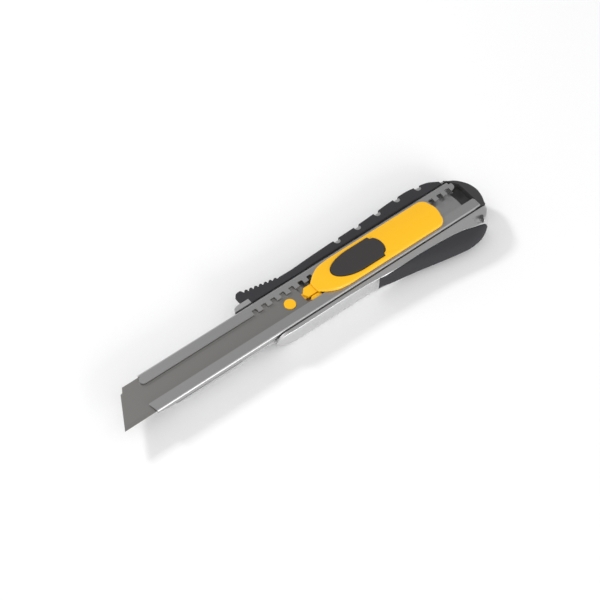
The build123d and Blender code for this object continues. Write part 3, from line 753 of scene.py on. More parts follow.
# ---- finishes ------------------------------------------------------------------------
def finish_base(name, **constants):
    """New material; returns it, its tree and its Principled shader with constants set."""
    material = bpy.data.materials.new(name)
    material.use_nodes = True
    tree = material.node_tree
    shader = tree.nodes["Principled BSDF"]
    for label, value in constants.items():
        shader.inputs[label.replace("_", " ")].default_value = value
    return material, tree, shader


def tinted(tree, base, value, worn_and_highlit, mask):
    """Base colour times the grain value, mixed with the lighter edge colour by the mask: edge wear plus painted
    edge highlight.
    """
    link = tree.links.new
    grainy = add_node(tree, "ShaderNodeVectorMath", operation="SCALE")
    grainy.inputs[0].default_value = base
    link(value, grainy.inputs["Scale"])
    mix = add_node(tree, "ShaderNodeMix", data_type="RGBA")
    mix.inputs["B"].default_value = (*worn_and_highlit, 1)
    link(mask, mix.inputs["Factor"])
    link(grainy.outputs[0], mix.inputs["A"])
    return mix.outputs["Result"]


def bumped(tree, shader, height, distance, strength=1.0):
    """Bump on the shader's normal."""
    bump = add_node(tree, "ShaderNodeBump", {"Distance": distance, "Strength": strength})
    tree.links.new(height, bump.inputs["Height"])
    tree.links.new(bump.outputs["Normal"], shader.inputs["Normal"])


def metal(name, base, stretch, scale, low, high, contrast, relief, metallic=1.0, wear_and_highlight=0.5):
    """Metal with stretched grain, roughness patches and bright edges, worn and with painted highlight."""
    material, tree, shader = finish_base(name, Metallic=metallic)
    grain = group_node(tree, "surface_grain", Stretch=stretch, Scale=scale, Contrast=contrast)
    edges = group_node(tree, "edge_wear_and_highlight", Radius=0.00025, Amount=wear_and_highlight * settings("finish").wear_and_highlight)
    patches = group_node(tree, "smudges", Stretch=(1, 1, 1), Scale=70.0, Low=low, High=high)
    # Lighter edge colour: rubbed metal plus a painted edge highlight.
    worn_and_highlit = tuple(min(1.0, 1.25 * c + 0.12) for c in base)
    tree.links.new(tinted(tree, base, grain.outputs["Value"], worn_and_highlit, edges.outputs["Mask"]),
                   shader.inputs["Base Color"])
    tree.links.new(patches.outputs["Value"], shader.inputs["Roughness"])
    bumped(tree, shader, grain.outputs["Height"], relief)
    return material


def moulded(name, base, scale, low, high, relief, specular, wear_and_highlight, worn_and_highlit):
    """Moulded rubber or plastic with a pebbled skin and lighter edges, rubbed and with painted highlight."""
    material, tree, shader = finish_base(name, Metallic=0.0, IOR=1.28)
    shader.inputs["Specular IOR Level"].default_value = specular
    pebbles = group_node(tree, "pebbles", Scale=scale, Depth=1.0)
    grain = group_node(tree, "surface_grain", Scale=350.0, Contrast=0.25)
    # The edge mask lightens every rounded edge: rubbing plus a painted edge highlight.
    edges = group_node(tree, "edge_wear_and_highlight", Radius=0.0005, Amount=wear_and_highlight * settings("finish").wear_and_highlight)
    patches = group_node(tree, "smudges", Scale=55.0, Low=low, High=high)
    tree.links.new(tinted(tree, base, grain.outputs["Value"], worn_and_highlit, edges.outputs["Mask"]),
                   shader.inputs["Base Color"])
    tree.links.new(patches.outputs["Value"], shader.inputs["Roughness"])
    bumped(tree, shader, pebbles.outputs["Height"], relief)
    return material


def casting_finish():
    """Die-cast metal, lightly blasted: even fine grain and slow grey clouds."""
    base = tuple(settings("finish").casting)
    return metal("cast_metal", base, (1, 1, 1), 5200.0, 0.36, 0.46, 0.10, 0.00003,
                 metallic=0.6, wear_and_highlight=0.7)


def channel_finish():
    """Rolled sheet with fine grain along the channel."""
    base = tuple(settings("finish").channel)
    return metal("channel_steel", base, (0.03, 1, 1), 9000.0, 0.24, 0.34, 0.30, 0.000004, wear_and_highlight=0.9)


def blade_finish():
    """Rolled blade steel, ground across along the bevel."""
    size = settings("blade")
    base = tuple(settings("finish").blade)
    material, tree, shader = finish_base("blade_steel", Metallic=1.0)
    link = tree.links.new
    grain = group_node(tree, "surface_grain", Stretch=(0.05, 1, 1), Scale=7000.0, Contrast=0.22)
    ground = group_node(tree, "surface_grain", Stretch=(1, 0.04, 1), Scale=9000.0, Contrast=0.35)
    # Lighter blade edges: partly wear, partly a painted edge highlight.
    edges = group_node(tree, "edge_wear_and_highlight", Radius=0.00012, Amount=0.4 * settings("finish").wear_and_highlight)
    patches = group_node(tree, "smudges", Stretch=(0.6, 1, 1), Scale=60.0, Low=0.27, High=0.40)
    where = add_node(tree, "ShaderNodeTexCoord")
    parts = add_node(tree, "ShaderNodeSeparateXYZ")
    bevel_line = BLADE_LOW.y + size.bevel_width
    blend = 0.1 * MM
    edges_of_strip = {"From Min": bevel_line - blend, "From Max": bevel_line + blend}
    strip = add_node(tree, "ShaderNodeMapRange", {**edges_of_strip, "To Min": 1.0, "To Max": 0.0})
    link(where.outputs["Object"], parts.inputs[0])
    link(parts.outputs["Y"], strip.inputs["Value"])
    # Lighter edge steel: rubbed edges plus a painted edge highlight.
    worn_and_highlit = tuple(1.2 * c for c in base)
    plain = tinted(tree, base, grain.outputs["Value"], worn_and_highlit, edges.outputs["Mask"])
    keen = tinted(tree, tuple(1.35 * c for c in base), ground.outputs["Value"], worn_and_highlit, edges.outputs["Mask"])
    mix = add_node(tree, "ShaderNodeMix", data_type="RGBA")
    link(strip.outputs[0], mix.inputs["Factor"])
    link(plain, mix.inputs["A"])
    link(keen, mix.inputs["B"])
    link(mix.outputs["Result"], shader.inputs["Base Color"])
    link(patches.outputs["Value"], shader.inputs["Roughness"])
    heights = add_node(tree, "ShaderNodeMix", data_type="FLOAT")
    link(strip.outputs[0], heights.inputs["Factor"])
    link(grain.outputs["Height"], heights.inputs["A"])
    link(ground.outputs["Height"], heights.inputs["B"])
    bumped(tree, shader, heights.outputs["Result"], 0.000003)
    return material


def spring_finish():
    """Blued spring steel."""
    base = tuple(settings("finish").spring)
    return metal("spring_steel", base, (0.05, 1, 1), 8000.0, 0.22, 0.34, 0.2, 0.000003)


def fastener_finish():
    """Zinc-plated steel."""
    base = tuple(settings("finish").fastener)
    return metal("fastener_steel", base, (1, 1, 1), 6000.0, 0.26, 0.38, 0.12, 0.000004)


def rubber_finish():
    """Soft black rubber of the two grips."""
    # The last colour is the lighter edge tone: rubbed rubber plus a painted edge highlight.
    return moulded("black_rubber", tuple(settings("finish").rubber), 3200.0, 0.50, 0.66, 0.00006, 0.05,
                   0.35, (0.05, 0.05, 0.052))


def pad_finish():
    """Firmer black rubber of the thumb pad."""
    return moulded("pad_rubber", tuple(settings("finish").pad), 4200.0, 0.46, 0.60, 0.00004, 0.05,
                   0.3, (0.04, 0.038, 0.038))


def yellow_finish():
    """Semi-gloss yellow plastic."""
    base = tuple(settings("finish").yellow)
    # Lighter edge yellow: rubbed plastic plus a painted edge highlight.
    worn_and_highlit = (min(1.0, base[0] * 1.05), base[1] * 1.12, base[2] + 0.02)
    return moulded("yellow_plastic", base, 5200.0, 0.36, 0.48, 0.000012, 0.04, 0.5, worn_and_highlit)


def black_finish():
    """Satin black plastic."""
    return moulded("black_plastic", tuple(settings("finish").black), 3800.0, 0.40, 0.54, 0.00003, 0.13,
                   0.45, (0.045, 0.045, 0.047))


FINISHES = {
    "cast_metal": casting_finish,
    "channel_steel": channel_finish,
    "blade_steel": blade_finish,
    "spring_steel": spring_finish,
    "fastener_steel": fastener_finish,
    "black_rubber": rubber_finish,
    "pad_rubber": pad_finish,
    "yellow_plastic": yellow_finish,
    "black_plastic": black_finish,
}


def finish(slot):
    """The material of a slot, made once."""
    return bpy.data.materials.get(slot) or FINISHES[slot]()


# ---- belly side ----------------------------------------------------------------------
NOSE_X, NOSE_Z = -2.6, -4.4
NOSE_TOP_RUN, NOSE_LOW_RUN = 6.2, 11.6
BUTT_X, BUTT_DROP, BUTT_LIFT, BUTT_RUN = 117.3, 1.4, 1.6, 3.6
MIDDLE_SHARE = 0.495                      # height of the widest line, from top to foot
RUBBER_FRONT, RUBBER_REAR = 52.2, 112.4
FRONT_CORNER, REAR_CORNER = 1.7, 2.6      # corner radii of the rubber's border
SEAT = 0.8                                # how deep the casting is cut for the rubber


def belly_point(x, phi):
    """Point on the belly side; phi runs from the top edge over the widest line to the foot."""
    x, phi = np.broadcast_arrays(np.asarray(x, dtype=float), np.asarray(phi, dtype=float))
    top, wide, foot = (smooth_line(BELLY_STATIONS, x, column) for column in (1, 2, 3))
    butt = 1 - quarter((BUTT_X + 0.02 - x) / BUTT_RUN)
    z_top = NOSE_Z * (1 - quarter((x - NOSE_X) / NOSE_TOP_RUN)) - BUTT_DROP * butt
    z_low = BACK_Z + (NOSE_Z - BACK_Z) * (1 - quarter((x - NOSE_X) / NOSE_LOW_RUN)) + BUTT_LIFT * butt
    z_mid = z_top + (z_low - z_top) * MIDDLE_SHARE
    edge = np.where(phi <= pi / 2, top, foot)
    rise = np.where(phi <= pi / 2, z_top - z_mid, z_mid - z_low)
    return np.stack([x, edge - (edge - wide) * np.sin(phi), z_mid + rise * np.cos(phi)], axis=-1)


def belly_offset(x, phi, offset):
    """Belly point moved out of the surface, within its own section."""
    tiny = 1e-3
    around = belly_point(x, phi + tiny) - belly_point(x, phi - tiny)
    normal = np.stack([np.zeros_like(around[..., 0]), around[..., 2], -around[..., 1]], axis=-1)
    normal /= np.linalg.norm(normal, axis=-1, keepdims=True) + 1e-12
    return belly_point(x, phi) + normal * np.asarray(offset)[..., None]


def rubber_border(x):
    """The two angles phi between which the belly is covered by rubber at X."""
    inside = np.clip(x, RUBBER_FRONT, RUBBER_REAR)
    top, wide, foot = (smooth_line(BELLY_STATIONS, inside, column) for column in (1, 2, 3))
    edge = smooth_line(RUBBER_EDGE, inside)
    upper = asin(float(np.clip((top - edge) / (top - wide), 0.04, 0.92)))
    lower = asin(float(np.clip((foot - edge) / (foot - wide), 0.06, 0.92)))
    front = FRONT_CORNER * (1 - float(quarter((inside - RUBBER_FRONT) / FRONT_CORNER)))
    rear = REAR_CORNER * (1 - float(quarter((RUBBER_REAR - inside) / REAR_CORNER)))
    corner = (front + rear) / -NOSE_Z / 1.1
    middle = (upper + pi - lower) / 2
    reach = max((pi - lower - upper) / 2 - corner, 0.12)
    return middle - reach, middle + reach


def casting_ring(x, seat):
    """Closed section of the casting's belly side, with the rubber's seat if asked."""
    upper, lower = rubber_border(x)
    bare_top = belly_point(x, np.linspace(0, upper, 8))
    covered = belly_offset(x, np.linspace(upper, lower, 34), -(SEAT if seat else 0.0))
    bare_foot = belly_point(x, np.linspace(lower, pi, 6))
    z_top, z_low = bare_top[0][2], bare_foot[-1][2]
    inner = [(-9.2, BACK_Z), (-9.2, CHANNEL_BASE_Z), (-9.85, CHANNEL_BASE_Z), (-9.85, -2.2),
             (-10.55, -2.2), (-10.55, -0.3), (-10.75, 0.0)]
    wall = [(x, max(y, float(bare_top[0][1]) + 0.02), min(max(z, z_low), z_top)) for y, z in inner]
    return [*map(tuple, bare_foot[-1:]), *wall, *map(tuple, bare_top), *map(tuple, covered),
            *map(tuple, bare_foot[:-1])]


def belly_casting():
    """Lofted belly side of the casting, from the bullet nose to the silver butt."""
    run = [NOSE_X + s for s in (0.03, 0.1, 0.22, 0.45, 0.8, 1.3, 2.0, 2.9, 4.0, 5.2, 6.2, 7.6, 9.4, 11.6)]
    stations = [(x, False) for x in run]
    stations += [(x, False) for x in np.linspace(12.5, RUBBER_FRONT, 16)]
    stations += [(RUBBER_FRONT + s, True) for s in (0.001, 0.15, 0.4, 0.8, 1.2, 1.7)]
    stations += [(x, True) for x in np.linspace(55.5, RUBBER_REAR - 2.8, 34)]
    stations += [(RUBBER_REAR - s, True) for s in (2.6, 1.9, 1.2, 0.6, 0.2, 0.001)]
    stations += [(RUBBER_REAR + s, False) for s in (0.0, 0.5, 1.1, 1.8, 2.5, 3.2, 3.8, 4.2, 4.5, 4.7, 4.84)]
    return loft("belly_casting", [casting_ring(x, seat) for x, seat in stations])


def rubber_skin():
    """Rubber swell: a skin whose border rounds down into the casting's seat."""
    rounding = settings("handle").rubber_round / MM
    fine = (0.0, 0.06, 0.15, 0.28, 0.45, 0.7, 1.0, 1.35, 1.8)
    xs = [RUBBER_FRONT + 0.03 + s for s in fine]
    xs += list(np.linspace(RUBBER_FRONT + 2.6, RUBBER_REAR - 3.2, 44))
    xs += [RUBBER_REAR - 0.03 - s for s in reversed((*fine, 2.6))]
    shares = np.concatenate([[0, 0.004, 0.009, 0.016, 0.025, 0.036, 0.05], np.linspace(0.08, 0.92, 30),
                             [0.95, 0.964, 0.975, 0.984, 0.991, 0.996, 1]])
    gap = 0.04
    rings = []
    for x in xs:
        upper, lower = rubber_border(x)
        phi = upper + gap / 5 + (lower - upper - 2 * gap / 5) * shares
        surface = belly_point(x, phi)
        steps = np.concatenate([[0], np.cumsum(np.linalg.norm(np.diff(surface, axis=0), axis=1))])
        to_end = min(x - RUBBER_FRONT, RUBBER_REAR - x)
        distance = np.minimum(np.minimum(steps, steps[-1] - steps), to_end)
        outer = belly_offset(x, phi, -rim_drop(distance, rounding))
        inner = belly_offset(x, phi[::-1], np.full(len(phi), -SEAT + 0.02))
        rings.append([*map(tuple, outer), *map(tuple, inner)])
    return loft("belly_rubber", rings)


# ---- rounded plates ------------------------------------------------------------------
def anticlockwise(outline):
    """Closed outline turned to run anticlockwise."""
    outline = np.asarray(outline, dtype=float)
    follow = np.roll(outline, -1, axis=0)
    area = np.sum(outline[:, 0] * follow[:, 1] - follow[:, 0] * outline[:, 1])
    return outline if area > 0 else outline[::-1]


def rounded_plate(name, outline, low, high, top_round, foot_round=0.0, steps=5):
    """Plate on a closed outline whose top and foot rims are rounded inwards."""
    outline = anticlockwise(outline)
    normal = outward_normals(outline)
    turns = np.linspace(0, pi / 2, steps + 1)
    levels = []
    if foot_round:
        levels += [(foot_round * (1 - sin(t)), low + foot_round * (1 - cos(t))) for t in turns]
    else:
        levels.append((0.0, low))
    levels += [(top_round * (1 - cos(t)), high - top_round * (1 - sin(t))) for t in turns]
    rings = [[(x, y, z) for x, y in outline - normal * inset] for inset, z in levels]
    return loft(name, rings)


def turned(name, profile, x=0.0, y=0.0, steps=40):
    """Turned part about a vertical axis; the profile is diameter and Z from foot to top."""
    rings = [[(u, v, z) for u, v in circle(x, y, diameter, steps)] for diameter, z in profile]
    return loft(name, rings)


def joined(name, objects):
    """One object from several separate ones."""
    points, faces = [], []
    for obj in objects:
        base = len(points)
        points += [tuple(v.co) for v in obj.data.vertices]
        faces += [tuple(base + i for i in polygon.vertices) for polygon in obj.data.polygons]
    discard(*objects)
    return mesh_object(name, points, faces)


# ---- outlines of the slider ----------------------------------------------------------
COVER_LOW, COVER_HIGH = span("slider_cover")
PAD_LOW, PAD_HIGH = span("thumb_pad")
COVER_HALF = COVER_HIGH.y
COVER_EDGE_Z = 1.3                        # top of the cover at its sides
COVER_NOSE_Z = 0.95                       # top of the cover at its nose
COVER_CENTRE = np.array([50.0, 0.0])
PAD_HALF = PAD_HIGH.y
PAD_EDGE_Z = 2.35
PAD_STRAIGHT_X, PAD_SHOULDER_X = 50.5, 61.6


def cover_outline():
    """Plan of the cover, anticlockwise: pointed nose, straight sides, bowed rear."""
    corner, bow = 4.0, 0.8
    nose = smooth_path([(COVER_LOW.x, 2.6), (29.5, 5.0), (32.0, 6.4), (35.0, 7.5), (40.0, COVER_HALF)], 24)
    rear = COVER_HIGH.x - bow
    turn = arc((rear - corner, COVER_HALF - corner), corner, 90, 0, 10)
    back = [(rear + bow * (1 - (y / (COVER_HALF - corner)) ** 2), y)
            for y in np.linspace(COVER_HALF - corner, 0, 8)[1:]]
    upper = [*map(tuple, nose), *turn, *back]
    lower = [(x, -y) for x, y in reversed(upper[:-1])]
    return anticlockwise([*upper, *lower])


def pad_outline(grow):
    """Plan of the thumb pad, anticlockwise: half ellipse in front, stepped bow at the rear."""
    half, front = PAD_HALF + grow, PAD_LOW.x - grow
    shoulder, point, neck = PAD_SHOULDER_X + grow, PAD_HIGH.x + grow, PAD_HALF - 1.4 + grow
    bow = [(PAD_STRAIGHT_X - (PAD_STRAIGHT_X - front) * sin(t), half * cos(t))
           for t in np.linspace(0, pi / 2, 20)]
    tail = [(shoulder + (point - shoulder) * sqrt(1 - (y / neck) ** 2), y) for y in np.linspace(0, neck, 14)]
    upper = [*tail, (shoulder - 0.4, half), *bow]
    lower = [(x, -y) for x, y in reversed(upper[:-1])]
    return anticlockwise([*upper, *lower])


def cover_top(x, y):
    """Height of the cover's top: crowned across, dropping at the nose."""
    crown = COVER_EDGE_Z + (COVER_HIGH.z - COVER_EDGE_Z) * (1 - (y / COVER_HALF) ** 2)
    t = np.clip((x - COVER_LOW.x) / 8.5, 0, 1)
    return COVER_NOSE_Z + (crown - COVER_NOSE_Z) * (3 - 2 * t) * t * t


def pad_top(x, y):
    """Height of the pad's top: crowned across, lightly dished in the middle."""
    dish = settings("slider").pad_dish / MM
    middle = (PAD_LOW.x + PAD_HIGH.x) / 2
    hollow = dish * np.exp(-((x - middle) / 7.0) ** 2 - (y / 3.2) ** 2)
    return PAD_EDGE_Z + (PAD_HIGH.z - PAD_EDGE_Z) * (1 - (y / PAD_HALF) ** 2) - hollow


def lifted(plan_points, heights):
    """Plan points with their heights, as a ring."""
    return [(x, y, z) for (x, y), z in zip(plan_points, heights)]


def slider_cover():
    """Cover as a closed skin from the outline over the crown into the window."""
    rounding, window_round = settings("slider").cover_round / MM, 0.2
    window = pad_outline(settings("slider").pad_gap / MM)
    outer_even = resampled(cover_outline(), 0.7)
    directions = np.concatenate([outer_even, window]) - COVER_CENTRE
    turns = np.unique(np.round(np.arctan2(directions[:, 1], directions[:, 0]), 5))
    outer = ray_hits(cover_outline(), COVER_CENTRE, turns)
    inner = ray_hits(window, COVER_CENTRE, turns)
    out_normal, in_normal = outward_normals(outer), outward_normals(inner)
    foot = np.full(len(turns), COVER_LOW.z)
    rings = [lifted(outer, foot)]
    for inset in rounding * np.array([0, 0.04, 0.12, 0.25, 0.42, 0.63, 0.85, 1.05]):
        ring = outer - out_normal * inset
        rings.append(lifted(ring, cover_top(*ring.T) - rim_drop(inset, rounding)))
    near = outer - out_normal * rounding * 1.05
    far = inner + in_normal * window_round * 1.2
    for t in np.linspace(0, 1, 9)[1:]:
        ring = near + (far - near) * t
        rings.append(lifted(ring, cover_top(*ring.T)))
    for inset in window_round * np.array([0.8, 0.5, 0.25, 0.08, 0]):
        ring = inner + in_normal * inset
        rings.append(lifted(ring, cover_top(*ring.T) - rim_drop(inset, window_round)))
    rings.append(lifted(inner, foot))
    return loft("cover", rings, wrap=True)


def thumb_pad():
    """Pad as a closed skin with a rounded rim and a dished crown."""
    rounding = settings("slider").pad_round / MM
    outline = pad_outline(0.0)
    centre = np.array([(PAD_LOW.x + PAD_HIGH.x) / 2, 0.0])
    edge = resampled(outline, 0.6)
    normal = outward_normals(edge)
    rings = [lifted(edge, np.full(len(edge), PAD_LOW.z))]
    for inset in rounding * np.array([0, 0.04, 0.12, 0.25, 0.45, 0.7, 1.0]):
        ring = edge - normal * inset
        rings.append(lifted(ring, pad_top(*ring.T) - rim_drop(inset, rounding)))
    near = edge - normal * rounding
    for t in (0.9, 0.78, 0.64, 0.5, 0.36, 0.22, 0.1, 0.02):
        ring = centre + (near - centre) * t
        rings.append(lifted(ring, pad_top(*ring.T)))
    return loft("pad", rings)


# ---- operators -----------------------------------------------------------------------
class KnifeOperator(bpy.types.Operator):
    """Shared settings of the knife's operators."""

    bl_options = {"REGISTER", "UNDO"}


class KNIFE_OT_casting(KnifeOperator):
    """Die-cast body with its lofted belly side, lanyard hole and silver butt"""

    bl_idname = "knife.casting"
    bl_label = "Casting"

    def execute(self, context):
        body = cad_copy("handle_casting", "casting")
        combine(body, block(-20, 130, -40, -9.5, -20, 5))
        xs = np.linspace(NOSE_X, NOSE_X + NOSE_LOW_RUN, 24)
        below = TONGUE_Z - 0.02
        bullet = [(float(x), min(float(belly_point(x, pi)[2]), below)) for x in xs]
        combine(body, prism("bullet", [(-6, -14), (-6, below), *bullet, (bullet[-1][0], -14)], -20, 9.5, "Y"))
        bevelled(body, settings("handle").rim_round / MM * 0.6, limit=40)
        belly = belly_casting()
        combine(belly, block(112.0, 125, -10.22, 0, -20, 5))
        hole = rounded([(107.0, -12.9), (112.4, -13.9), (109.6, -18.0), (105.9, -16.0)], 1.4)
        combine(belly, prism("hole", hole, -20, 5))
        combine(belly, turned("recess", [(9.0, -20), (9.0, -5.6), (7.8, -5.0)], 109.0, -15.2))
        combine(body, belly, "UNION")
        tidy_mesh(body, merge=1e-3)
        settle(body, "casting", "handle", ["handle_casting"], finish("cast_metal"), sharp=34)
        return {"FINISHED"}


class KNIFE_OT_belly_grip(KnifeOperator):
    """Rubber swell on the belly side"""

    bl_idname = "knife.belly_grip"
    bl_label = "Belly grip"

    def execute(self, context):
        settle(rubber_skin(), "belly_rubber", "handle", ["belly_grip"], finish("black_rubber"))
        return {"FINISHED"}


class KNIFE_OT_spine_grip(KnifeOperator):
    """Rubber along the spine with its thumb ridges and finger scallops"""

    bl_idname = "knife.spine_grip"
    bl_label = "Spine grip"

    def execute(self, context):
        size = settings("handle")
        low, high = span("spine_grip")
        inner_y, step_y = low.y, 12.7
        rubber = finish("black_rubber")
        ramp = [(low.x, step_y), *smooth_path([(low.x, 15.9), (-2.75, 17.1), (-1.9, 17.95), (-0.9, high.y)], 8),
                (0.3, high.y), (0.95, 17.5), (1.4, 16.4), (SPINE_LINE[0][0] - 0.6, 13.65)]
        start_x, end_x = SPINE_LINE[0][0], SPINE_LINE[-1][0]
        skin = [(float(x), float(smooth_line(SPINE_LINE, x))) for x in np.linspace(start_x, end_x, 120)]
        foot = [(end_x, inner_y), (0.55, inner_y), (0.55, step_y)]
        outline = resampled([*map(tuple, ramp), *skin, *foot], 1.2)
        grip = rounded_plate("grip", outline, low.z, high.z, size.rubber_round / MM, 0.4)
        ridge = turned("ridge", [(1.1, low.z + 0.3), (1.7, low.z + 0.6), (1.7, high.z - 0.5),
                                 (1.55, high.z - 0.22), (1.1, high.z - 0.04)], steps=28)
        row(grip, "fused", ridge, (2.55, 16.45, 0), (size.ridge_pitch / MM, -0.44, 0), size.ridges, rubber)
        skin_y, skin_z = 1.0, 1.2
        wall_x = np.linspace(start_x, end_x + 2, 60)
        wall = [(float(x), float(smooth_line(SPINE_LINE, min(x, end_x)) - skin_y)) for x in wall_x]
        core = [(-1.0, 9.0), (wall_x[-1], 9.0), *reversed(wall), (start_x, step_y), (-1.0, step_y)]
        combine(grip, prism("core", core, -20, high.z - skin_z))
        combine(grip, block(-9.0, 0.5, 9.0, step_y, -20, 5))
        slope = [(-6, -1.6), (low.x - 0.2, -1.6), (4.2, BACK_Z), (4.2, -14), (-6, -14)]
        combine(grip, prism("slope", slope, 9.0, 25.0, "Y"))
        spots = [(x, float(smooth_line(SPINE_LINE, x)), -5.0) for x in SCALLOP_PLACES]
        places = mesh_object("places", spots, [])
        run_tree(grip, scallop_tree(), Places=places, Width=size.scallop_width / MM,
                 Depth=size.scallop_depth / MM, Height=16.0, Material=rubber)
        discard(places)
        settle(grip, "spine_rubber", "handle", ["spine_grip"], rubber, sharp=42)
        return {"FINISHED"}


class KNIFE_OT_channel(KnifeOperator):
    """Folded steel channel with the rack in its spine-side lip"""

    bl_idname = "knife.channel"
    bl_label = "Blade channel"

    def execute(self, context):
        size = settings("channel")
        sheet, fold = size.sheet / MM, size.fold / MM
        low, high = span("blade_channel")
        base = low.z
        half = CHANNEL_HALF
        wall = half - fold
        turns = ((wall, -fold, 90), (wall, base + fold, 0), (-wall, base + fold, -90), (-wall, -fold, 180))
        outer, inner = ([point for y, z, start in turns for point in arc((y, z), radius, start, start - 90)]
                        for radius in (fold, fold - sheet))
        section = [(SPINE_LIP, 0.0), *outer, (BELLY_LIP, 0.0), (BELLY_LIP, -sheet), *reversed(inner),
                   (SPINE_LIP, -sheet)]
        channel = prism("channel", section, low.x, high.x, "X")
        chin = [(low.x - 1, -1.2), (low.x, -1.2), (-47.0, TONGUE_Z), (-47.0, -6), (low.x - 1, -6)]
        combine(channel, prism("chin", chin, -12, 12, "Y"))
        spine_front = [(-70, 12), (-59.6, 12), (-59.9, 9.6), (-61.2, 6.2), (-61.1, 5.4), (-60.4, 4.75),
                       (-59.2, SPINE_LIP), (-58, 2), (-70, 2)]
        belly_front = [(-70, -12), (-63.4, -12), (-63.7, -9.4), (-64.7, -5.0), (-64.4, -4.3), (-70, -4.2)]
        spine_rear = [(110.0, 3), (110.3, 4.4), (112.2, 5.1), (112.8, 5.8), (113.0, 7.0), (112.7, 8.0),
                      (111.4, 9.9), (111.4, 12), (120, 12), (120, 3)]
        belly_rear = [(113.6, -4.3), (114.6, -4.7), (high.x + 0.01, -5.6), (high.x + 1, -4), (113.6, -4)]
        base_rear, bow = 109.8, 1.3
        bowed = [(base_rear - bow * t * t, 9.0 * t) for t in np.linspace(-1, 1, 13)]
        combine(channel, prism("cut", spine_front, -2.0, 1))
        combine(channel, prism("cut", spine_rear, -2.0, 1))
        combine(channel, prism("cut", belly_front, -5, 1))
        combine(channel, prism("cut", belly_rear, -5, 1))
        combine(channel, block(-70, -59.8, 8.0, 12, -5, 1))
        combine(channel, block(111.4, 120, 8.0, 12, -5, 1))
        combine(channel, block(-70, -58.0, -9.0, 9.0, -5, -sheet - 0.4))
        combine(channel, prism("cut", [*bowed, (120, 9.0), (120, -9.0)], -5, -1.0))
        depth = size.notch_depth / MM
        width = size.notch_width / MM
        corner = min(0.4, width / 3)
        notch = [(0, -1.0), (0, depth - corner), *arc((-corner, depth - corner), corner, 0, 90, 4),
                 *arc((corner - width, depth - corner), corner, 90, 180, 4), (-width, -1.0)]
        cutter = prism("notch", notch, -sheet - 0.3, 1)
        row(channel, "cut", cutter, (0, SPINE_LIP, 0), (size.rack_pitch / MM, 0, 0), size.notches,
            finish("channel_steel"))
        seat = [(3.1, base - 1), (3.1, base + 0.1), (5.1, base + sheet + 0.01)]
        for x in RIVET_PLACES:
            combine(channel, turned("seat", seat, x))
        bevelled(channel, 0.09, segments=2, limit=35)
        settle(channel, "channel", "handle", ["blade_channel"], finish("channel_steel"))
        return {"FINISHED"}


class KNIFE_OT_fixings(KnifeOperator):
    """Rivets, pins and screws"""

    bl_idname = "knife.fixings"
    bl_label = "Fixings"

    def execute(self, context):
        steel = finish("fastener_steel")
        top = CHANNEL_BASE_Z + settings("channel").sheet / MM
        pieces = []
        front, middle, rear = RIVET_PLACES
        rows = (((front, 0, 0), (middle - front, 0, 0), 2, TONGUE_Z), ((rear, 0, 0), (1, 0, 0), 1, -7.0))
        for first, step, count, foot in rows:
            rivet = turned("rivet", [(2.7, foot), (3.0, foot + 0.15), (3.0, top - 0.6), (4.9, top - 0.05),
                                     (4.6, top)])
            pieces.append(row_of("rivets", rivet, first, step, count, steel))
        settle(joined("rivets", pieces), "rivets", "handle", ["channel_rivets"], steel)
        pins = joined("pins", [
            turned("pin", [(1.3, -2.5), (1.6, -2.35), (1.6, head - 0.15), (1.3, head)], x, steps=24)
            for x, head in ((33.0, 0.1), (50.0, -1.0))
        ])
        settle(pins, "arm_pins", "slider", ["carrier_pins"], steel)
        screw = turned("screw", [(0.8, -2.05), (0.9, -2.5), (2.6, -2.5), (3.1, -2.3), (3.2, -1.9), (3.2, -1.5),
                                 (1.8, -1.5), (1.6, -1.2), (1.8, -0.9), (1.6, -0.6), (1.8, -0.3), (1.6, 0.0),
                                 (1.8, 0.3), (1.6, 0.7), (0.9, 1.0)], steps=28)
        screws = row_of("screws", screw, (69.0, 0, 0), (20.0, 0, 0), 2, steel)
        settle(screws, "screws", "slider", ["cover_screws"], steel)
        low, high = span("lock_spring_rivet")
        stub = turned("stub", [(1.1, low.z), (1.3, low.z + 0.12), (1.3, high.z - 0.12), (1.0, high.z)],
                      (low.x + high.x) / 2, (low.y + high.y) / 2, 24)
        settle(stub, "spring_rivet", "slider", ["lock_spring_rivet"], steel)
        return {"FINISHED"}


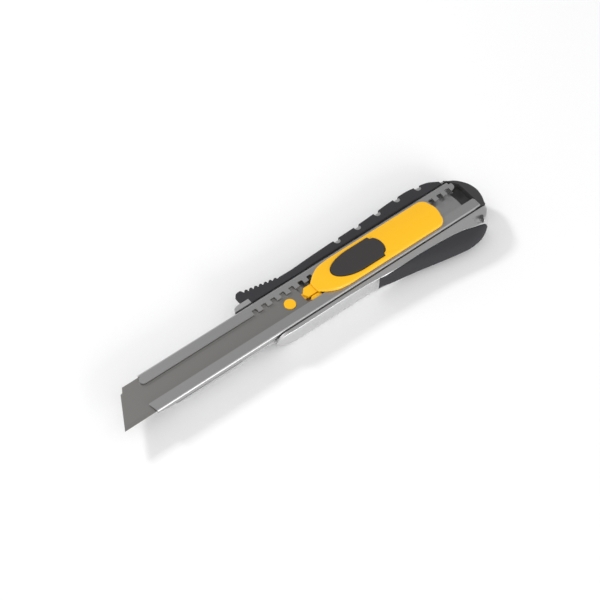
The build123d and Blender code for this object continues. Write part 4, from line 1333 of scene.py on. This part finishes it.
class KNIFE_OT_blade(KnifeOperator):
    """Snap-off blade with its ground bevel and score lines"""

    bl_idname = "knife.blade"
    bl_label = "Blade"

    def execute(self, context):
        size = settings("blade")
        low, high = span("blade")
        half, slope = high.y, tan(size.snap_angle)
        lean = 2 * half / slope
        flat_y, keen = -half + size.bevel_width / MM, 0.02
        middle = (low.z + high.z) / 2
        section = [(-half, middle - keen), (flat_y, low.z), (half, low.z), (half, high.z), (flat_y, high.z),
                   (-half, middle + keen)]
        front = [(low.x + (y + half) / slope, y, z) for y, z in section]
        rear = [(high.x, y, z) for y, z in section]
        blade = loft("blade", [front, rear])
        step_y = 6.5
        step_x = low.x + (step_y + half) / slope
        step = [(step_x - 4, step_y), (step_x, step_y), (step_x + 1.0, step_y + 0.2),
                (low.x + lean + 1.1, half + 0.01), (low.x + lean, half + 2), (step_x - 4, half + 2)]
        combine(blade, prism("step", step, low.z - 1, high.z + 1))
        wide, over = 0.28, 1.2
        score = [(-over / slope, -half - over), (wide - over / slope, -half - over),
                 (wide + lean + over / slope, half + over), (lean + over / slope, half + over)]
        cutter = prism("score", score, low.z - 1, low.z + size.score_depth / MM)
        pitch = size.segment / MM
        row(blade, "cut", cutter, (low.x + pitch, 0, 0), (pitch, 0, 0), size.scores, finish("blade_steel"))
        combine(blade, turned("hole", [(size.hole / MM, low.z - 1), (size.hole / MM, high.z + 1)], 13.3, 0, 64))
        bevelled(blade, 0.03, segments=1, limit=50)
        settle(blade, "blade_18", "slider", ["blade"], finish("blade_steel"), sharp=5)
        return {"FINISHED"}


class KNIFE_OT_carrier(KnifeOperator):
    """Yellow arm under the blade with its stud and nose tabs"""

    bl_idname = "knife.carrier"
    bl_label = "Blade carrier"

    def execute(self, context):
        carrier = bevelled(cad_copy("blade_carrier", "carrier"), 0.2, segments=3, limit=40)
        settle(carrier, "carrier", "slider", ["blade_carrier"], finish("yellow_plastic"))
        return {"FINISHED"}


class KNIFE_OT_slider_inside(KnifeOperator):
    """Carriage, button core and the leaf springs"""

    bl_idname = "knife.slider_inside"
    bl_label = "Slider's inside"

    def execute(self, context):
        for node, name, body, slot, rounding in (
            ("slider_carriage", "carriage", "slider", "black_plastic", 0.12),
            ("button_core", "core", "button", "black_plastic", 0.1),
            ("lock_spring", "lock_leaf", "slider", "spring_steel", 0.05),
            ("drag_spring", "drag_leaf", "slider", "spring_steel", 0.04),
            ("button_spring", "button_leaf", "button", "spring_steel", 0.04),
        ):
            piece = bevelled(cad_copy(node, name), rounding, limit=40)
            settle(piece, name, body, [node], finish(slot))
        return {"FINISHED"}


class KNIFE_OT_cover(KnifeOperator):
    """Yellow cover of the slider"""

    bl_idname = "knife.cover"
    bl_label = "Slider cover"

    def execute(self, context):
        settle(slider_cover(), "cover", "slider", ["slider_cover"], finish("yellow_plastic"))
        return {"FINISHED"}


class KNIFE_OT_pad(KnifeOperator):
    """Black thumb pad on the button"""

    bl_idname = "knife.pad"
    bl_label = "Thumb pad"

    def execute(self, context):
        settle(thumb_pad(), "pad", "button", ["thumb_pad"], finish("pad_rubber"))
        return {"FINISHED"}


class KNIFE_OT_butt_cap(KnifeOperator):
    """Black butt cap with its cavity, plug and spring clip"""

    bl_idname = "knife.butt_cap"
    bl_label = "Butt cap"

    def execute(self, context):
        low, high = span("end_cap")
        rounding = 1.2
        front_x, belly_y = 112.1, -10.2
        curve = smooth_path(CAP_LINE, 56)[::-1]
        inner = [(CAP_LINE[0][0] + 0.1, 9.95), (front_x, 9.95), (front_x, belly_y)]
        outline = np.array([*map(tuple, curve), *inner])
        ends = np.linalg.norm(curve - curve[0], axis=1), np.linalg.norm(curve - curve[-1], axis=1)
        share_of = np.clip(np.minimum(*ends) / 3.0, 0.12, 1.0)
        insets = np.concatenate([share_of, np.full(len(inner), 0.12)])[:, None]
        normal = outward_normals(outline)
        rings = []
        for t in np.linspace(0, pi / 2, 7):
            ring = outline - normal * insets * rounding * (1 - sin(t))
            rings.append([(x, y, low.z + rounding * 0.8 * (1 - cos(t))) for x, y in ring])
        for t in np.linspace(0, pi / 2, 7):
            ring = outline - normal * insets * rounding * (1 - cos(t))
            rings.append([(x, y, high.z - rounding * 0.8 * (1 - sin(t))) for x, y in ring])
        cap = loft("cap", rings)
        cavity = [(100, -10.1), (115.2, -10.1), (115.2, 5.6), (113.6, 7.6), (112.2, 9.2), (111.4, 9.85),
                  (100, 9.85)]
        hollow = prism("cavity", rounded(cavity, 1.2), CHANNEL_BASE_Z - 0.05, 5)
        combine(cap, hollow)
        combine(cap, block(98.0, 113, -4.8, 4.8, -5.6, CHANNEL_BASE_Z - 0.05), "UNION")
        tidy_mesh(cap, merge=1e-3)
        black = finish("black_plastic")
        settle(cap, "butt_cap_shell", "butt_cap", ["end_cap"], black, sharp=34)
        clip = bevelled(cad_copy("cap_clip", "clip"), 0.08, limit=40)
        settle(clip, "cap_clip_leaf", "butt_cap", ["cap_clip"], finish("spring_steel"))
        return {"FINISHED"}


DARK_CARD = 0.40                          # brightness of the sky that flat steel mirrors
# Name, direction, distance, size and share of the key's power.
LIGHTS = (
    ("key", (-0.25, 0.85, 0.62), 0.9, 0.14, 0.45),
    ("front", (0.1, -1.0, 0.30), 0.9, 0.4, 0.55),
)


class KNIFE_OT_stage(KnifeOperator):
    """Pale floor, soft light and the camera"""

    bl_idname = "knife.stage"
    bl_label = "Stage"

    def execute(self, context):
        scene = context.scene
        size = settings("stage")
        scene.view_settings.view_transform = "Standard"
        middle = at(17.66, -1.39, 0)
        reach = 3.0
        z = CAD_BOX[0][2] - 0.0002
        corners = [(-reach, -reach, z), (reach, -reach, z), (reach, reach, z), (-reach, reach, z)]
        floor = mesh_object("floor", corners, [(0, 1, 2, 3)])
        material, tree, shader = finish_base("floor_paper", Roughness=0.85)
        shader.inputs["Specular IOR Level"].default_value = 0.1
        grain = group_node(tree, "surface_grain", Scale=900.0, Contrast=0.02)
        plain = add_node(tree, "ShaderNodeVectorMath", operation="SCALE")
        plain.inputs[0].default_value = (0.93, 0.93, 0.935)
        tree.links.new(grain.outputs["Value"], plain.inputs["Scale"])
        tree.links.new(plain.outputs[0], shader.inputs["Base Color"])
        floor.data.materials.append(material)

        world = bpy.data.worlds.new("studio")
        scene.world = world
        world.use_nodes = True
        sky = world.node_tree
        shade = sky.nodes["Background"]
        shade.inputs["Color"].default_value = (1, 1, 1, 1)
        way = add_node(sky, "ShaderNodeTexCoord")
        dot = add_node(sky, "ShaderNodeVectorMath", operation="DOT_PRODUCT")
        dot.inputs[1].default_value = (0.40, 0.437, 0.805)
        lobe = {"From Min": 0.62, "From Max": 0.97, "To Min": size.fill, "To Max": size.fill * DARK_CARD}
        dark = add_node(sky, "ShaderNodeMapRange", lobe, interpolation_type="SMOOTHSTEP")
        sky.links.new(way.outputs["Generated"], dot.inputs[0])
        sky.links.new(dot.outputs["Value"], dark.inputs["Value"])
        sky.links.new(dark.outputs[0], shade.inputs["Strength"])
        for name, way_in, distance, wide, power in LIGHTS:
            data = bpy.data.lights.new(name, "AREA")
            data.energy = power * size.key
            data.size = wide
            lamp = bpy.data.objects.new(name, data)
            direction = Vector(way_in).normalized()
            lamp.location = middle + direction * distance
            lamp.rotation_euler = direction.to_track_quat("Z", "Y").to_euler()
            scene.collection.objects.link(lamp)

        data = bpy.data.cameras.new("camera")
        data.lens = size.lens
        data.sensor_width = 36.0
        camera = bpy.data.objects.new("camera", data)
        back = Vector((sin(size.azimuth) * cos(size.elevation), -cos(size.azimuth) * cos(size.elevation),
                       sin(size.elevation)))
        level = Vector((cos(size.azimuth), sin(size.azimuth), 0))
        right = cos(size.roll) * level + sin(size.roll) * back.cross(level)
        matrix = Matrix((right, back.cross(right), back)).transposed().to_4x4()
        matrix.translation = middle + back * size.distance
        camera.matrix_world = matrix
        scene.collection.objects.link(camera)
        scene.camera = camera
        return {"FINISHED"}


class KNIFE_PT_panel(bpy.types.Panel):
    """Sidebar panel with the knife's settings and operators"""

    bl_idname = "KNIFE_PT_panel"
    bl_label = "Snap-off knife"
    bl_space_type = "VIEW_3D"
    bl_region_type = "UI"
    bl_category = "Knife"

    def draw(self, context):
        for group in SETTINGS:
            box = self.layout.box()
            box.label(text=group.replace("knife_", "").capitalize())
            values = getattr(context.scene, group)
            for name in values.bl_rna.properties.keys():
                if name not in {"rna_type", "name"}:
                    box.prop(values, name)
        for operator in OPERATORS:
            self.layout.operator(operator.bl_idname)


OPERATORS = (
    KNIFE_OT_casting,
    KNIFE_OT_belly_grip,
    KNIFE_OT_spine_grip,
    KNIFE_OT_channel,
    KNIFE_OT_fixings,
    KNIFE_OT_blade,
    KNIFE_OT_carrier,
    KNIFE_OT_slider_inside,
    KNIFE_OT_cover,
    KNIFE_OT_pad,
    KNIFE_OT_butt_cap,
    KNIFE_OT_stage,
)


def register():
    """Registers the classes and the scene's settings."""
    for cls in (*SETTINGS.values(), *OPERATORS, KNIFE_PT_panel):
        bpy.utils.register_class(cls)
    for name, cls in SETTINGS.items():
        setattr(bpy.types.Scene, name, PointerProperty(type=cls))


def unregister():
    """Removes the scene's settings and the classes."""
    for name in SETTINGS:
        delattr(bpy.types.Scene, name)
    for cls in reversed((*SETTINGS.values(), *OPERATORS, KNIFE_PT_panel)):
        bpy.utils.unregister_class(cls)


def main():
    """Builds the knife and its stage."""
    register()
    for operator in OPERATORS:
        getattr(bpy.ops.knife, operator.bl_idname.split(".")[1])()


if __name__ == "__main__":
    main()
